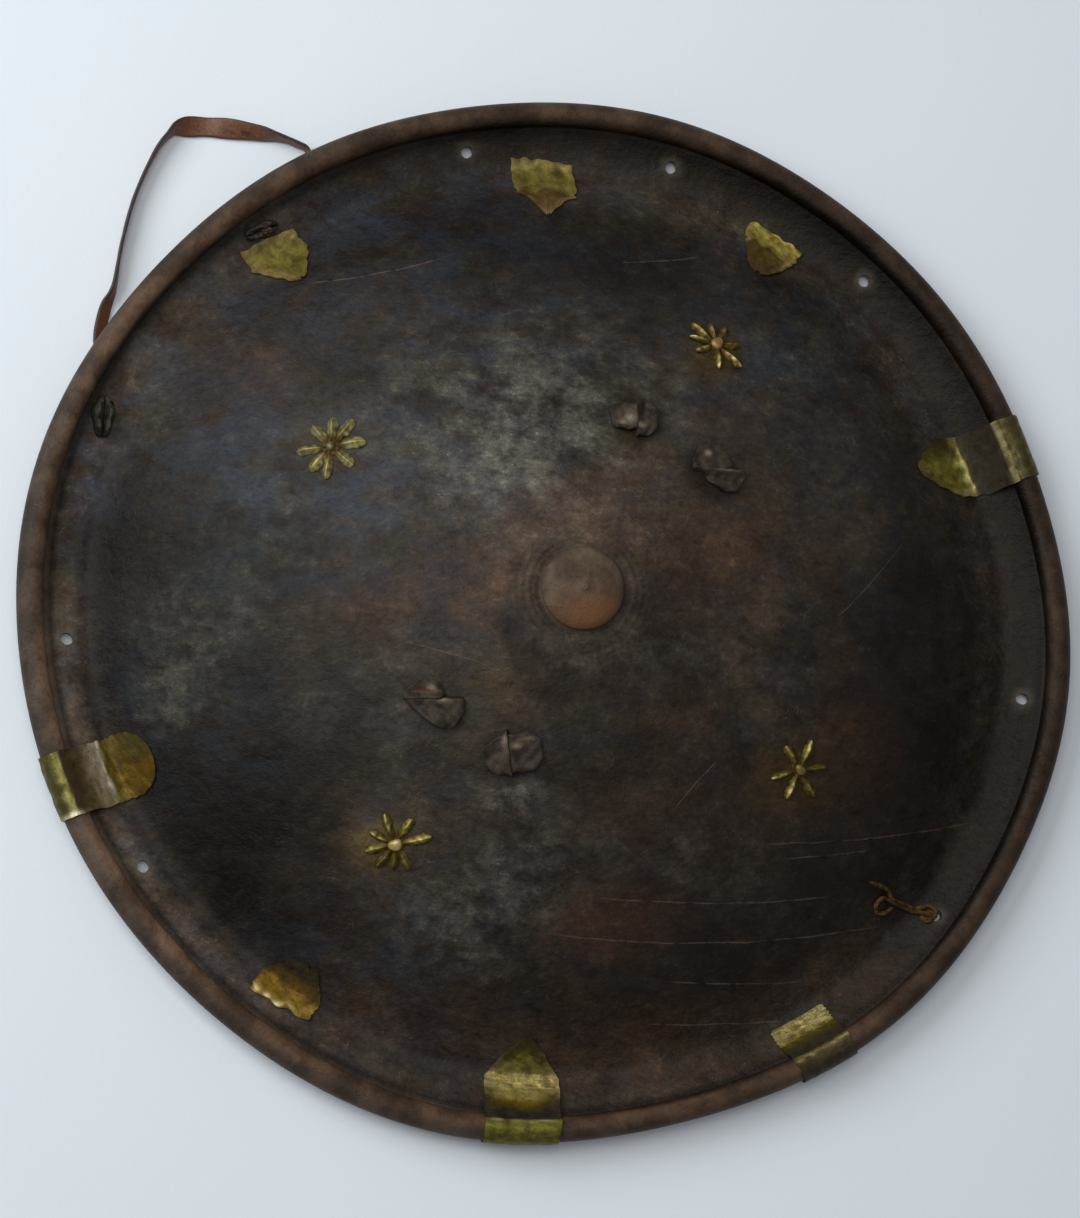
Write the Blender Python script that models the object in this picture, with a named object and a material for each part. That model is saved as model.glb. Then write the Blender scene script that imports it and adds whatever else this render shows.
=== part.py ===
"""A round war shield of one thick hide, lying face up on the back of its turned-up rim.

The hide is one piece: a low turned button, a dome, a gutter, a flange laced with small holes, and
an edge rolled up into a bead. Four brass clips still wrap the bead, four more have broken off
short of it, and four embossed brass stars are pinned through the dome. Two leather hand grips run
side by side behind the hide and come out on the face in folded knots. A leather carrying strap and
a twist of iron wire hang in three of the lacing holes.

Metres, +Z up. The origin is on the surface that the shield lies on, under the middle of the dome.
+Y runs along the hand grips.
"""

import math

import bmesh
import bpy
from mathutils import Vector

# The hide
RIM_R = 0.310  # mean outer radius
HIDE_T = 0.0045  # thickness
DOME_RISE = 0.099  # from the gutter to the crown, without the button
GUTTER_R = 0.271  # where dome and flange meet
GUTTER_BLEND = 0.005  # how softly they meet
FLANGE_SLOPE = 0.45  # rise of the flange for each metre outwards
FOOT_CUT = 0.0004  # how far the back of the gutter is worn flat where the shield rests
BEAD_R = 0.0075  # radius of the rolled edge
BEAD_LIFT = 0.0045  # height of the bead's middle over the edge of the flange
BEAD_STEPS = 9  # points round the bead
RIM_LOBES = ((2, 0.0024, 12), (3, 0.0008, -5), (4, 0.0015, 16), (7, 0.0005, -15))
WARP_FROM, WARP_TO = 0.15, 0.27  # radii between which the rim's lobes fade in
SIDES = 54  # facets round the hide

# The turned button, as radius and height over the crown's edge
BUTTON_R = 0.0235
BUTTON = (
    (0.0018, 0.0103),
    (0.0040, 0.0090),
    (0.0130, 0.0085),
    (0.0195, 0.0070),
    (0.0229, 0.0044),
    (BUTTON_R, 0.0026),
    (0.0225, 0.0004),
    (0.0245, -0.0006),
    (0.0290, 0.0),
)
NIPPLE_H = 0.0108

# The lacing holes in the flange
HOLES = 13
HOLE_R = 0.0035
HOLE_CIRCLE = 0.284
FIRST_HOLE = -2.3  # degrees from +X
HOLE_STEP = 360 / HOLES
HOLE_SHIFTS = {1: 0.9, 3: 2.2, 4: 2.3, 8: 0.4, 9: 0.8}  # degrees off even spacing
OPEN_HOLES = (0, 1, 3, 4, 5, 6, 7, 8, 9)  # the others are clogged, or lie under brass
WIRE_HOLE = 0

# Brass
GAP = 0.0003  # between pieces that touch
SHEET_GAP = 0.0009  # under brass and knots on the rim, which stand off the facets of the hide
SHEET_T = 0.0009
# Clips: bearing, radius of the inner tip, width, share of the width at the tip, share of the
# face that the shoulder takes, roundness of the shoulder, radius where the sheet leaves the
# flange for the bead, and how far the tip leans towards higher bearings
CLIPS = (
    (56.0, 0.2375, 0.039, 0.10, 0.58, 0.35, 0.280, 0.007),
    (236.0, 0.2505, 0.038, 0.06, 0.52, 1.00, 0.280, 0.0),
    (301.2, 0.2500, 0.044, 0.05, 0.80, 0.30, 0.280, 0.0),
    (336.5, 0.2760, 0.036, 0.85, 0.20, 1.00, 0.287, 0.0),
)
CLIP_BACK_R = 0.288  # how far in the back leaf reaches
SHEET_ROWS = 7
# Broken plates: bearing, inner and outer radius, width, share at the tip, share of the length
# that the shoulder takes, its roundness, and how much farther out the higher bearings lie
PLATES = (
    (95.1, 0.2400, 0.2727, 0.0362, 0.15, 0.75, 0.50, 0.0),
    (126.9, 0.2375, 0.2766, 0.0375, 0.05, 0.47, 0.0, 0.0045),
    (163.6, 0.2470, 0.2804, 0.0350, 0.11, 0.55, 0.25, 0.0048),
    (270.4, 0.2545, 0.2830, 0.0388, 0.32, 0.55, 0.30, -0.0042),
)

# Stars: place and usual reach, then each ray's bearing and share of the reach, cut by eye
STARS = (
    (
        (-0.1615, -0.0118, 0.0195),
        ((85, 1.05), (46, 1.00), (-10, 0.87), (-63, 1.00))
        + ((-96, 0.92), (-140, 0.95), (163, 0.84), (121, 0.92)),
    ),
    (
        (-0.0175, 0.1758, 0.0180),
        ((176, 1.06), (205, 0.94), (240, 0.81), (306, 0.91))
        + ((350, 1.10), (35, 0.80), (89, 0.74), (139, 0.74)),
    ),
    (
        (0.0005, -0.1735, 0.0190),
        ((149, 0.97), (97, 0.88), (46, 1.08), (-20, 0.87))
        + ((-55, 0.74), (-93, 0.84), (-136, 0.90), (192, 0.86)),
    ),
    (
        (0.1634, -0.0020, 0.0185),
        ((160, 0.86), (103, 1.00), (42, 0.92), (-25, 0.93), (-82, 0.98), (-129, 0.99)),
    ),
)
RAY_W = 0.0056
RAY_WIDEST = 0.66  # share of the reach at which a ray is widest and highest
RAY_H = 0.0024
STAR_EDGE = 0.0008
STAR_WAIST = 0.0052  # radius of the notches between rays
PIN_R = 0.0016  # the pin that holds a star
PIN_HEAD_R = 0.0042
PIN_HEAD_H = 0.0038
PIN_CLEAR = 0.0003
PIN_SIDES = 6
CLENCH_GAP = 0.0010  # between the clenched end and the facets of the hide's back

# Hand grips
GRIP_X = (-0.0314, 0.0214)
GRIP_Y = (-0.0978, 0.1040)  # the slits' places along the grips
GRIP_W = 0.024
GRIP_T = 0.004
GRIP_LOW = 0.034  # height of the grips' middle over the ground
SLIT_W, SLIT_L = 0.0050, 0.0200
NECK_W = 0.019  # width of a grip where it passes through a slit
NECK_ROWS = 3  # points of the grip's line that lie in the slit, and over which it then widens
TAB_T = 0.0038
# turn of each knot's fold, and for its two tabs the length, the width, how far the root slides
# along the fold, and how much farther the tip does
KNOTS = {
    (0, 0): (35, (0.0105, 0.0225, 0.0050, -0.0017), (0.0165, 0.0300, 0.0, 0.0080)),
    (0, 1): (125, (0.0155, 0.0170, 0.0010, 0.0), (0.0120, 0.0250, -0.0010, 0.0)),
    (1, 0): (135, (0.0140, 0.0260, 0.0, 0.0), (0.0180, 0.0230, 0.0, 0.0)),
    (1, 1): (35, (0.0155, 0.0225, 0.0, 0.0), (0.0125, 0.0270, 0.0062, 0.0030)),
}

# Carrying strap: x, y, z, width, and lean of the width from level, in degrees
STRAP_T = 0.0022
STRAP_ROUTE = (
    (-0.2690, 0.0850, 0.0110, 0.0060, 0),
    (-0.2710, 0.0806, 0.0110, 0.0046, 0),
    (-0.2721, 0.0789, 0.0076, 0.0048, 0),
    (-0.2726, 0.0800, 0.0023, 0.0044, 0),
    (-0.2745, 0.0900, 0.0020, 0.0060, 0),
    (-0.2738, 0.1080, 0.0026, 0.0070, 20),
    (-0.2740, 0.1260, 0.0042, 0.0080, 50),
    (-0.2799, 0.1385, 0.0048, 0.0088, 84),
    (-0.2877, 0.1380, 0.0053, 0.0100, 88),
    (-0.2953, 0.1358, 0.0059, 0.0112, 88),
    (-0.3021, 0.1328, 0.0063, 0.0118, 76),
    (-0.3089, 0.1297, 0.0060, 0.0120, 58),
    (-0.3182, 0.1250, 0.0050, 0.0120, 40),
    (-0.3278, 0.1198, 0.0034, 0.0120, 20),
    (-0.3361, 0.1148, 0.0016, 0.0120, 2),
    (-0.3435, 0.1090, 0.0028, 0.0120, 14),
    (-0.3489, 0.1029, 0.0055, 0.0118, 50),
    (-0.3508, 0.0965, 0.0061, 0.0114, 82),
    (-0.3508, 0.0820, 0.0059, 0.0112, 90),
    (-0.3443, 0.0533, 0.0059, 0.0112, 90),
    (-0.3335, 0.0257, 0.0059, 0.0112, 90),
    (-0.3216, 0.0019, 0.0055, 0.0102, 80),
    (-0.3182, -0.0110, 0.0044, 0.0088, 46),
    (-0.3110, -0.0270, 0.0037, 0.0076, 32),
    (-0.3020, -0.0370, 0.0033, 0.0070, 18),
    (-0.2920, -0.0488, 0.0023, 0.0060, 5),
    (-0.2834, -0.0565, 0.0021, 0.0044, 0),
    (-0.2820, -0.0577, 0.0076, 0.0048, 0),
    (-0.2813, -0.0590, 0.0104, 0.0054, 0),
    (-0.2790, -0.0625, 0.0106, 0.0062, 0),
)
STRAP_STEPS = 2  # smooth steps between two points of the route
LEVELLING = 0.5  # how soon the strap's width turns level after each hole
# hole, bearing of the length, half length, half width, height, and place of the middle from the
# hole: along the length, and outwards
STRAP_KNOTS = (
    (6, 62, 0.0105, 0.0043, 0.0050, 0.0025, 0.0024),
    (7, 125, 0.0120, 0.0062, 0.0056, -0.0080, 0.0002),
)

# Iron wire: distance in from the hole, distance to the left of it, and lift over the face
WIRE_R = 0.0013
WIRE_SIDES = 5
WIRE_MAIN = (
    (0.0061, -0.0056, 0.0016),
    (0.0009, -0.0056, 0.0018),
    (0.0005, 0.0015, 0.0020),
    (0.0059, 0.0023, 0.0022),
    (0.0094, -0.0017, 0.0024),
    (0.0132, -0.0046, 0.0022),
    (0.0209, -0.0070, 0.0024),
    (0.0285, -0.0098, 0.0026),
    (0.0353, -0.0086, 0.0032),
    (0.0420, -0.0106, 0.0044),
    (0.0496, -0.0137, 0.0058),
)
WIRE_BRANCH = (
    (0.0026, 0.0000, -0.0072),
    (0.0006, 0.0000, -0.0020),
    (0.0016, -0.0012, 0.0014),
    (0.0051, -0.0026, 0.0018),
    (0.0088, -0.0044, 0.0020),
    (0.0119, -0.0061, 0.0020),
    (0.0194, -0.0083, 0.0018),
    (0.0265, -0.0107, 0.0018),
    (0.0334, -0.0132, 0.0020),
    (0.0344, -0.0190, 0.0018),
    (0.0307, -0.0218, 0.0018),
    (0.0263, -0.0181, 0.0018),
    (0.0258, -0.0132, 0.0026),
)

COLOURS = {
    "hide": ((0.030, 0.026, 0.024), 0.42, 0.0),
    "brass": ((0.24, 0.20, 0.06), 0.42, 1.0),
    "grip_leather": ((0.055, 0.040, 0.028), 0.62, 0.0),
    "strap_leather": ((0.16, 0.055, 0.022), 0.55, 0.0),
    "rusty_iron": ((0.13, 0.055, 0.020), 0.85, 0.0),
}


# ---- the hide's section ----------------------------------------------------------------------


def face_base():
    """Height that puts the gutter's back FOOT_CUT below the ground, where it is worn flat."""
    fall = 2 * DOME_RISE / GUTTER_R
    lowest = GUTTER_BLEND * math.sqrt(fall * FLANGE_SLOPE) / (fall + FLANGE_SLOPE)
    return HIDE_T - FOOT_CUT - lowest


def face_z(r):
    """Height of the face: a parabolic dome and a straight flange, joined in a soft gutter."""
    dome = DOME_RISE * (1 - (r / GUTTER_R) ** 2)
    flange = FLANGE_SLOPE * (r - GUTTER_R)
    return 0.5 * (dome + flange + math.hypot(dome - flange, GUTTER_BLEND)) + face_base()


def face_slope(r):
    step = 1e-5
    return (face_z(r + step) - face_z(r - step)) / (2 * step)


def offset_face(r, off):
    """The point at a distance off from the face, square to it: above it, or below if negative."""
    slope = face_slope(r)
    steep = math.hypot(1, slope)
    return r - off * slope / steep, face_z(r) + off / steep


def back_z(r):
    """Height of the hide's back, which is flat where it meets the ground."""
    return max(0.0, face_z(r) - HIDE_T * math.hypot(1, face_slope(r)))


BEAD_C = (RIM_R - BEAD_R, face_z(RIM_R - 2 * BEAD_R) + BEAD_LIFT)


def meets_bead(off, back=False):
    """Radius at which the face, or the back, moved out by off meets the bead grown by off."""
    low, high = RIM_R - 4 * BEAD_R, RIM_R - BEAD_R
    for _ in range(40):
        r = 0.5 * (low + high)
        at = offset_face(r, -HIDE_T - off if back else off)
        if math.dist(at, BEAD_C) > BEAD_R + off:
            low = r
        else:
            high = r
    return low


def bead_point(turn, off=0.0):
    reach = BEAD_R + off
    return BEAD_C[0] + reach * math.cos(turn), BEAD_C[1] + reach * math.sin(turn)


def bead_turn(point):
    turn = math.atan2(point[1] - BEAD_C[1], point[0] - BEAD_C[0])
    return turn % (2 * math.pi)


def between(start, end, count):
    """Count values from start to end, both included."""
    return [start + (end - start) * i / (count - 1) for i in range(count)]


def over_bead(off, count):
    """The arc from the crease of the flange over the bead to its back, offset outwards."""
    start = bead_turn(offset_face(meets_bead(off), off))
    end = bead_turn(offset_face(meets_bead(off, True), -HIDE_T - off)) - 2 * math.pi
    return [bead_point(turn, off) for turn in between(start, end, count)]


def hide_section():
    """Radius and height of the hide's outline, from the middle of its face to that of its back."""
    crown = face_z(BUTTON[-1][0])
    face = [(r, crown + h) for r, h in BUTTON]
    dome = [(r, face_z(r)) for r in between(0.055, 0.240, 7)]
    gutter = [(r, face_z(r)) for r in (0.254, 0.262, 0.2670, 0.2705, 0.2745, 0.284)]
    bead = over_bead(0.0, BEAD_STEPS)
    back = [(r, back_z(r)) for r in (0.291, 0.283, 0.278)]
    foot = [(r, 0.0) for r in (0.2750, 0.2700)]
    inside = [(r, back_z(r)) for r in (0.265, 0.253, 0.220, 0.165, 0.100)]
    return face + dome + gutter + bead + back + foot + inside


# ---- the hide's plan -------------------------------------------------------------------------


def rim_shift(turn):
    """How far the rim stands out from its mean radius at a bearing."""
    return sum(size * math.cos(n * (turn - math.radians(at))) for n, size, at in RIM_LOBES)


def warped(r, turn, z):
    """The point at a radius, bearing and height, on the shield's uneven plan."""
    t = min(1.0, max(0.0, (r - WARP_FROM) / (WARP_TO - WARP_FROM)))
    r += rim_shift(turn) * t * t * (3 - 2 * t)
    return Vector((r * math.cos(turn), r * math.sin(turn), z))


def on_face(x, y, lift):
    """The point over a place on the face, lifted square to it."""
    r, z = offset_face(math.hypot(x, y), lift)
    return warped(r, math.atan2(y, x), z)


def hole_turn(index):
    return math.radians(FIRST_HOLE + index * HOLE_STEP + HOLE_SHIFTS.get(index, 0.0))


# ---- making objects --------------------------------------------------------------------------


def material(name):
    made = bpy.data.materials.get(name)
    if made is None:
        colour, roughness, metallic = COLOURS[name]
        made = bpy.data.materials.new(name)
        made.use_nodes = True
        shader = made.node_tree.nodes["Principled BSDF"]
        shader.inputs["Base Color"].default_value = (*colour, 1.0)
        shader.inputs["Roughness"].default_value = roughness
        shader.inputs["Metallic"].default_value = metallic
    return made


def new_object(name, verts, faces, finish):
    """A closed mesh object from points and faces, with its normals turned outwards."""
    bm = bmesh.new()
    made = [bm.verts.new(v) for v in verts]
    for face in faces:
        bm.faces.new([made[i] for i in face])
    bmesh.ops.recalc_face_normals(bm, faces=bm.faces)
    mesh = bpy.data.meshes.new(name)
    bm.to_mesh(mesh)
    bm.free()
    mesh.shade_smooth()
    mesh.set_sharp_from_angle(angle=math.radians(32))
    mesh.materials.append(material(finish))
    obj = bpy.data.objects.new(name, mesh)
    bpy.context.scene.collection.objects.link(obj)
    return obj


def combine(target, tool, operation):
    """Joins or cuts with a Boolean, and hides the tool from the build."""
    step = target.modifiers.new(tool.name, "BOOLEAN")
    step.operation = operation
    step.solver = "EXACT"
    step.object = tool
    tool.hide_render = True
    tool.display_type = "WIRE"


def tube_faces(rings, sides):
    """Faces of a closed skin over rings of points, with an end cap on the first and last ring."""
    faces = [tuple(range(sides)), tuple((rings - 1) * sides + i for i in range(sides))]
    for ring in range(rings - 1):
        for i in range(sides):
            j = (i + 1) % sides
            low = ring * sides
            faces.append((low + i, low + j, low + sides + j, low + sides + i))
    return faces


def slab_faces(rows, columns):
    """Faces of a closed slab whose lower points, row by row, are followed by its upper ones."""
    layer = rows * columns

    def at(row, column, upper):
        return row * columns + column + upper * layer

    faces = []
    for row in range(rows - 1):
        for column in range(columns - 1):
            for upper in (0, 1):
                quad = [
                    at(row, column, upper),
                    at(row + 1, column, upper),
                    at(row + 1, column + 1, upper),
                    at(row, column + 1, upper),
                ]
                faces.append(quad)
    edge = [(row, 0) for row in range(rows)]
    edge += [(rows - 1, column) for column in range(1, columns)]
    edge += [(row, columns - 1) for row in range(rows - 2, -1, -1)]
    edge += [(0, column) for column in range(columns - 2, 0, -1)]
    for here, there in zip(edge, edge[1:] + edge[:1]):
        faces.append([at(*here, 0), at(*there, 0), at(*there, 1), at(*here, 1)])
    return faces


def smooth_route(points, steps):
    """Points along a Catmull-Rom curve through the given ones, steps to each stretch."""
    points = [Vector(p) for p in points]
    padded = [2 * points[0] - points[1]] + points + [2 * points[-1] - points[-2]]
    route = []
    for a, b, c, d in zip(padded, padded[1:], padded[2:], padded[3:]):
        for i in range(steps):
            t = i / steps
            route.append(
                0.5 * (2 * b + (c - a) * t + (2 * a - 5 * b + 4 * c - d) * t * t)
                + 0.5 * (3 * b - a - 3 * c + d) * t**3
            )
    return route + [points[-1]]


def directions(route):
    ends = [route[0]] + route + [route[-1]]
    return [(after - before).normalized() for before, after in zip(ends, ends[2:])]


def band(name, route, sizes, finish):
    """A flat strap along a route; sizes give its half width and half thickness as vectors."""
    verts = []
    for point, (across, through) in zip(route, sizes):
        verts += [point + across + through, point - across + through]
        verts += [point - across - through, point + across - through]
    return new_object(name, verts, tube_faces(len(route), 4), finish)


def round_wire(name, route, radius, sides, finish):
    verts = []
    side = Vector((0, 0, 1))
    for point, ahead in zip(route, directions(route)):
        side = (side - side.dot(ahead) * ahead).normalized()
        other = ahead.cross(side)
        for i in range(sides):
            turn = 2 * math.pi * i / sides
            verts.append(point + radius * (math.cos(turn) * side + math.sin(turn) * other))
    return new_object(name, verts, tube_faces(len(route), sides), finish)


def turned(name, centre, axis, profile, sides, finish):
    """A turned piece from pairs of radius and distance along an axis, closed at both ends."""
    side = axis.orthogonal().normalized()
    other = axis.cross(side)
    verts = []
    for radius, along in profile:
        for i in range(sides):
            turn = 2 * math.pi * i / sides
            out = math.cos(turn) * side + math.sin(turn) * other
            verts.append(centre + along * axis + radius * out)
    return new_object(name, verts, tube_faces(len(profile), sides), finish)


# ---- the pieces ------------------------------------------------------------------------------


def hide_body():
    """The hide with its button and rolled edge, turned round the axis on the uneven plan."""
    section = hide_section()
    crown = face_z(BUTTON[-1][0]) + NIPPLE_H
    verts = [Vector((0, 0, crown)), Vector((0, 0, back_z(0.0)))]
    for r, z in section:
        verts += [warped(r, 2 * math.pi * i / SIDES, z) for i in range(SIDES)]
    last = 2 + (len(section) - 1) * SIDES
    faces = []
    for i in range(SIDES):
        j = (i + 1) % SIDES
        faces += [(0, 2 + i, 2 + j), (1, last + j, last + i)]
        for ring in range(len(section) - 1):
            low = 2 + ring * SIDES
            faces.append((low + i, low + SIDES + i, low + SIDES + j, low + j))
    body = new_object("hide_body", verts, faces, "hide")
    combine(body, lacing_cutter(), "DIFFERENCE")
    combine(body, pin_cutter(), "DIFFERENCE")
    combine(body, slit_cutter(), "DIFFERENCE")
    return body


def lacing_cutter():
    """Upright rods through the flange, one for each open lacing hole, in one mesh."""
    verts, faces, sides = [], [], 8
    for index in OPEN_HOLES:
        centre = warped(HOLE_CIRCLE, hole_turn(index), 0.0)
        start = len(verts)
        for z in (-0.004, 0.022):
            for i in range(sides):
                turn = 2 * math.pi * (i + 0.5) / sides
                spoke = Vector((math.cos(turn), math.sin(turn), 0))
                verts.append(centre + HOLE_R * spoke + Vector((0, 0, z)))
        faces += [[start + i for i in face] for face in tube_faces(2, sides)]
    return new_object("lacing_holes", verts, faces, "hide")


def face_axis(x, y):
    """The way square to the face at a place on it."""
    return (on_face(x, y, 0.001) - on_face(x, y, 0.0)).normalized()


def pin_cutter():
    """Rods through the dome for the pins of the stars, in one mesh."""
    verts, faces, sides = [], [], 8
    for (x, y, _), _ in STARS:
        axis = face_axis(x, y)
        side = axis.orthogonal().normalized()
        other = axis.cross(side)
        start = len(verts)
        for along in (-2 * HIDE_T, HIDE_T):
            for i in range(sides):
                turn = 2 * math.pi * i / sides
                out = math.cos(turn) * side + math.sin(turn) * other
                reach = (PIN_R + PIN_CLEAR) / math.cos(math.pi / sides)
                verts.append(on_face(x, y, 0.0) + along * axis + reach * out)
        faces += [[start + i for i in face] for face in tube_faces(2, sides)]
    return new_object("pin_holes", verts, faces, "hide")


def slit_cutter():
    """Upright blades through the dome, one where each end of a grip comes out."""
    verts, faces = [], []
    for x in GRIP_X:
        for y in GRIP_Y:
            start = len(verts)
            ground = face_z(math.hypot(x, y))
            for z in (ground - 0.03, ground + 0.02):
                for sx, sy in ((-1, -1), (1, -1), (1, 1), (-1, 1)):
                    verts.append(Vector((x + sx * SLIT_L / 2, y + sy * SLIT_W / 2, z)))
            faces += [[start + i for i in face] for face in tube_faces(2, 4)]
    return new_object("grip_slits", verts, faces, "hide")


def sheet_object(name, bearing, section, widths, leans, tilts):
    """Sheet brass bent over a section of the hide, given as its lower and upper points.

    Each row has its width, how far its middle leans towards higher bearings, and how much
    farther out its end at the higher bearing lies than the other.
    """
    turn, verts = math.radians(bearing), []
    for layer, off in zip(section, (SHEET_GAP, SHEET_GAP + SHEET_T)):
        for (r, z), width, lean, tilt in zip(layer, widths, leans, tilts):
            for column in (-0.5, 0.0, 0.5):
                if tilt:
                    low, high = offset_face(r - 0.5 * tilt, off), offset_face(r + 0.5 * tilt, off)
                    share = column + 0.5
                    here, z = low[0] + share * (high[0] - low[0]), low[1] + share * (high[1] - low[1])
                else:
                    here = r
                verts.append(warped(here, turn + (column * width + lean) / r, z))
    return new_object(name, verts, slab_faces(len(widths), 3), "brass")


def sheet_width(share, width, tip, shoulder, roundness):
    """Width at a share of the length: a straight or a rounded shoulder, then the whole width."""
    q = min(1.0, share / shoulder)
    rise = (1 - roundness) * q + roundness * math.sqrt(1 - (1 - q) ** 2)
    return width * (tip + (1 - tip) * rise)


def clip_section(tip_r, leave_r, off):
    """A clip's line at a distance off from the hide: along the face, straight across the crease
    to the bead, over it, and in under the flange."""
    face = [offset_face(r, off) for r in between(tip_r, leave_r, SHEET_ROWS)]
    away = math.dist(face[-1], BEAD_C)
    start = bead_turn(face[-1]) - math.acos((BEAD_R + off) / away)
    end = bead_turn(offset_face(meets_bead(off, True), -HIDE_T - off)) - 2 * math.pi
    bead = [bead_point(turn, off) for turn in between(start, end, BEAD_STEPS)]
    back_r = between(meets_bead(off, True), CLIP_BACK_R, 3)[1:]
    return face + bead + [offset_face(r, -HIDE_T - off) for r in back_r]


def rim_clips():
    """Brass clips that lie on the dome and flange and wrap over the bead to the back."""
    for number, clip in enumerate(CLIPS, 1):
        bearing, tip_r, width, tip, shoulder, roundness, leave_r, lean = clip
        section = [
            clip_section(tip_r, leave_r, off) for off in (SHEET_GAP, SHEET_GAP + SHEET_T)
        ]
        rows = len(section[0])
        shares = [min(1.0, i / (SHEET_ROWS - 1)) for i in range(rows)]
        widths = [sheet_width(share, width, tip, shoulder, roundness) for share in shares]
        leans = [lean * (1 - share) for share in shares]
        sheet_object(f"rim_clip_{number}", bearing, section, widths, leans, [0.0] * rows)


def broken_plates():
    """Face leaves of clips that broke off at the gutter's edge."""
    for number, plate in enumerate(PLATES, 1):
        bearing, inner, outer, width, tip, shoulder, roundness, tilt = plate
        radii = between(inner, outer, SHEET_ROWS)
        section = [
            [offset_face(r, off) for r in radii] for off in (SHEET_GAP, SHEET_GAP + SHEET_T)
        ]
        shares = between(0.0, 1.0, SHEET_ROWS)
        widths = [sheet_width(share, width, tip, shoulder, roundness) for share in shares]
        tilts = [tilt * min(1.0, share / shoulder) for share in shares]
        leans = [0.0] * SHEET_ROWS
        sheet_object(f"broken_plate_{number}", bearing, section, widths, leans, tilts)


def star_skin(name, middle, rays):
    """Narrow ridged rays round a waist, bent to lie on the face."""
    x, y, usual = middle
    turns = sorted((math.radians(bearing) % (2 * math.pi), share) for bearing, share in rays)
    rays = len(turns)
    flat, top = [], []
    for i, (turn, share) in enumerate(turns):
        reach = usual * share
        after = turns[(i + 1) % rays][0] + (2 * math.pi if i == rays - 1 else 0)
        ahead = Vector((math.cos(turn), math.sin(turn)))
        aside = Vector((-ahead.y, ahead.x))
        notch = 0.5 * (turn + after)
        flat += [
            RAY_WIDEST * reach * ahead - 0.5 * RAY_W * aside,
            reach * ahead,
            RAY_WIDEST * reach * ahead + 0.5 * RAY_W * aside,
            STAR_WAIST * Vector((math.cos(notch), math.sin(notch))),
        ]
        top += [RAY_WIDEST * reach * ahead]
    verts = [on_face(x + p.x, y + p.y, GAP) for p in flat]
    verts += [on_face(x + p.x, y + p.y, GAP + STAR_EDGE) for p in flat]
    verts += [on_face(x + p.x, y + p.y, GAP + RAY_H) for p in top]
    verts += [on_face(x, y, GAP), on_face(x, y, GAP + RAY_H)]
    edge = len(flat)
    low, high = 2 * edge + rays, 2 * edge + rays + 1
    faces = []
    for k in range(edge):
        nxt = (k + 1) % edge
        faces += [(k, nxt, edge + nxt, edge + k), (low, nxt, k)]
    for i in range(rays):
        first = edge + 4 * i
        right, tip, left, waist = first, first + 1, first + 2, first + 3
        before = edge + (4 * i - 1) % edge
        ridge = 2 * edge + i
        faces += [(before, right, ridge), (right, tip, ridge), (tip, left, ridge)]
        faces += [(left, waist, ridge), (before, ridge, high), (ridge, waist, high)]
    return new_object(name, verts, faces, "brass")


def stars():
    """Embossed stars, each with its own pin through the hide, clenched behind."""
    made = []
    pin = (
        (0.0012, GAP + PIN_HEAD_H),
        (0.0028, GAP + PIN_HEAD_H - 0.0008),
        (PIN_HEAD_R, GAP + STAR_EDGE + 0.0009),
        (PIN_HEAD_R, GAP + 0.0004),
        (PIN_R, GAP + 0.0002),
        (PIN_R, -HIDE_T - CLENCH_GAP),
        (0.0032, -HIDE_T - CLENCH_GAP),
        (0.0026, -HIDE_T - CLENCH_GAP - 0.0012),
    )
    for number, (middle, rays) in enumerate(STARS, 1):
        star = star_skin(f"star_{number}", middle, rays)
        centre, axis = on_face(*middle[:2], 0.0), face_axis(*middle[:2])
        tool = turned(f"star_pin_{number}", centre, axis, pin, PIN_SIDES, "brass")
        combine(star, tool, "UNION")
        made.append(star)
    return made


def grip_route(x):
    """Points down through one slit, in a slack arc behind the hide, and up through the other."""
    ends = []
    for y, inwards in zip(GRIP_Y, (1, -1)):
        r = math.hypot(x, y)
        top, under = face_z(r) + 0.0022, back_z(r)
        ends.append(
            [
                (x, y, top),
                (x, y, under - 0.0010),
                (x, y + inwards * 0.0012, under - 0.0060),
                (x, y + inwards * 0.0065, under - 0.0140),
            ]
        )
    middle = []
    low_y, high_y = ends[0][-1][1], ends[1][-1][1]
    for t in (0.14, 0.32, 0.5, 0.68, 0.86):
        sag = (2 * abs(t - 0.5)) ** 2.6
        side = ends[0] if t < 0.5 else ends[1]
        middle.append(
            (x, low_y + t * (high_y - low_y), GRIP_LOW + sag * (side[-1][2] - GRIP_LOW))
        )
    return ends[0] + middle + ends[1][::-1]


def folded_tab(name, x, y, turn, tab, high):
    """One tab of a knot: a tongue that rolls over out of the slit and lies on the face."""
    length, width, slide, skew = tab
    ahead = Vector((math.cos(turn), math.sin(turn)))
    aside = Vector((-ahead.y, ahead.x))
    rows, columns = 4, 3
    start = -0.5 * SLIT_W
    lower, upper = [], []
    for i, along in enumerate(between(start, length, rows)):
        share = i / (rows - 1)
        half = 0.5 * width * (1 - 0.45 * share**2.5)
        swell = (1 - 0.35 * share**2) * TAB_T + high * (1 - share)
        for across in between(-1.0, 1.0, columns):
            place = Vector((x, y)) + along * ahead + (slide + skew * share + across * half) * aside
            thin = 1 - 0.28 * across**2
            lower.append(on_face(place.x, place.y, GAP))
            upper.append(on_face(place.x, place.y, GAP + swell * thin))
    return new_object(name, lower + upper, slab_faces(rows, columns), "grip_leather")


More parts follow.
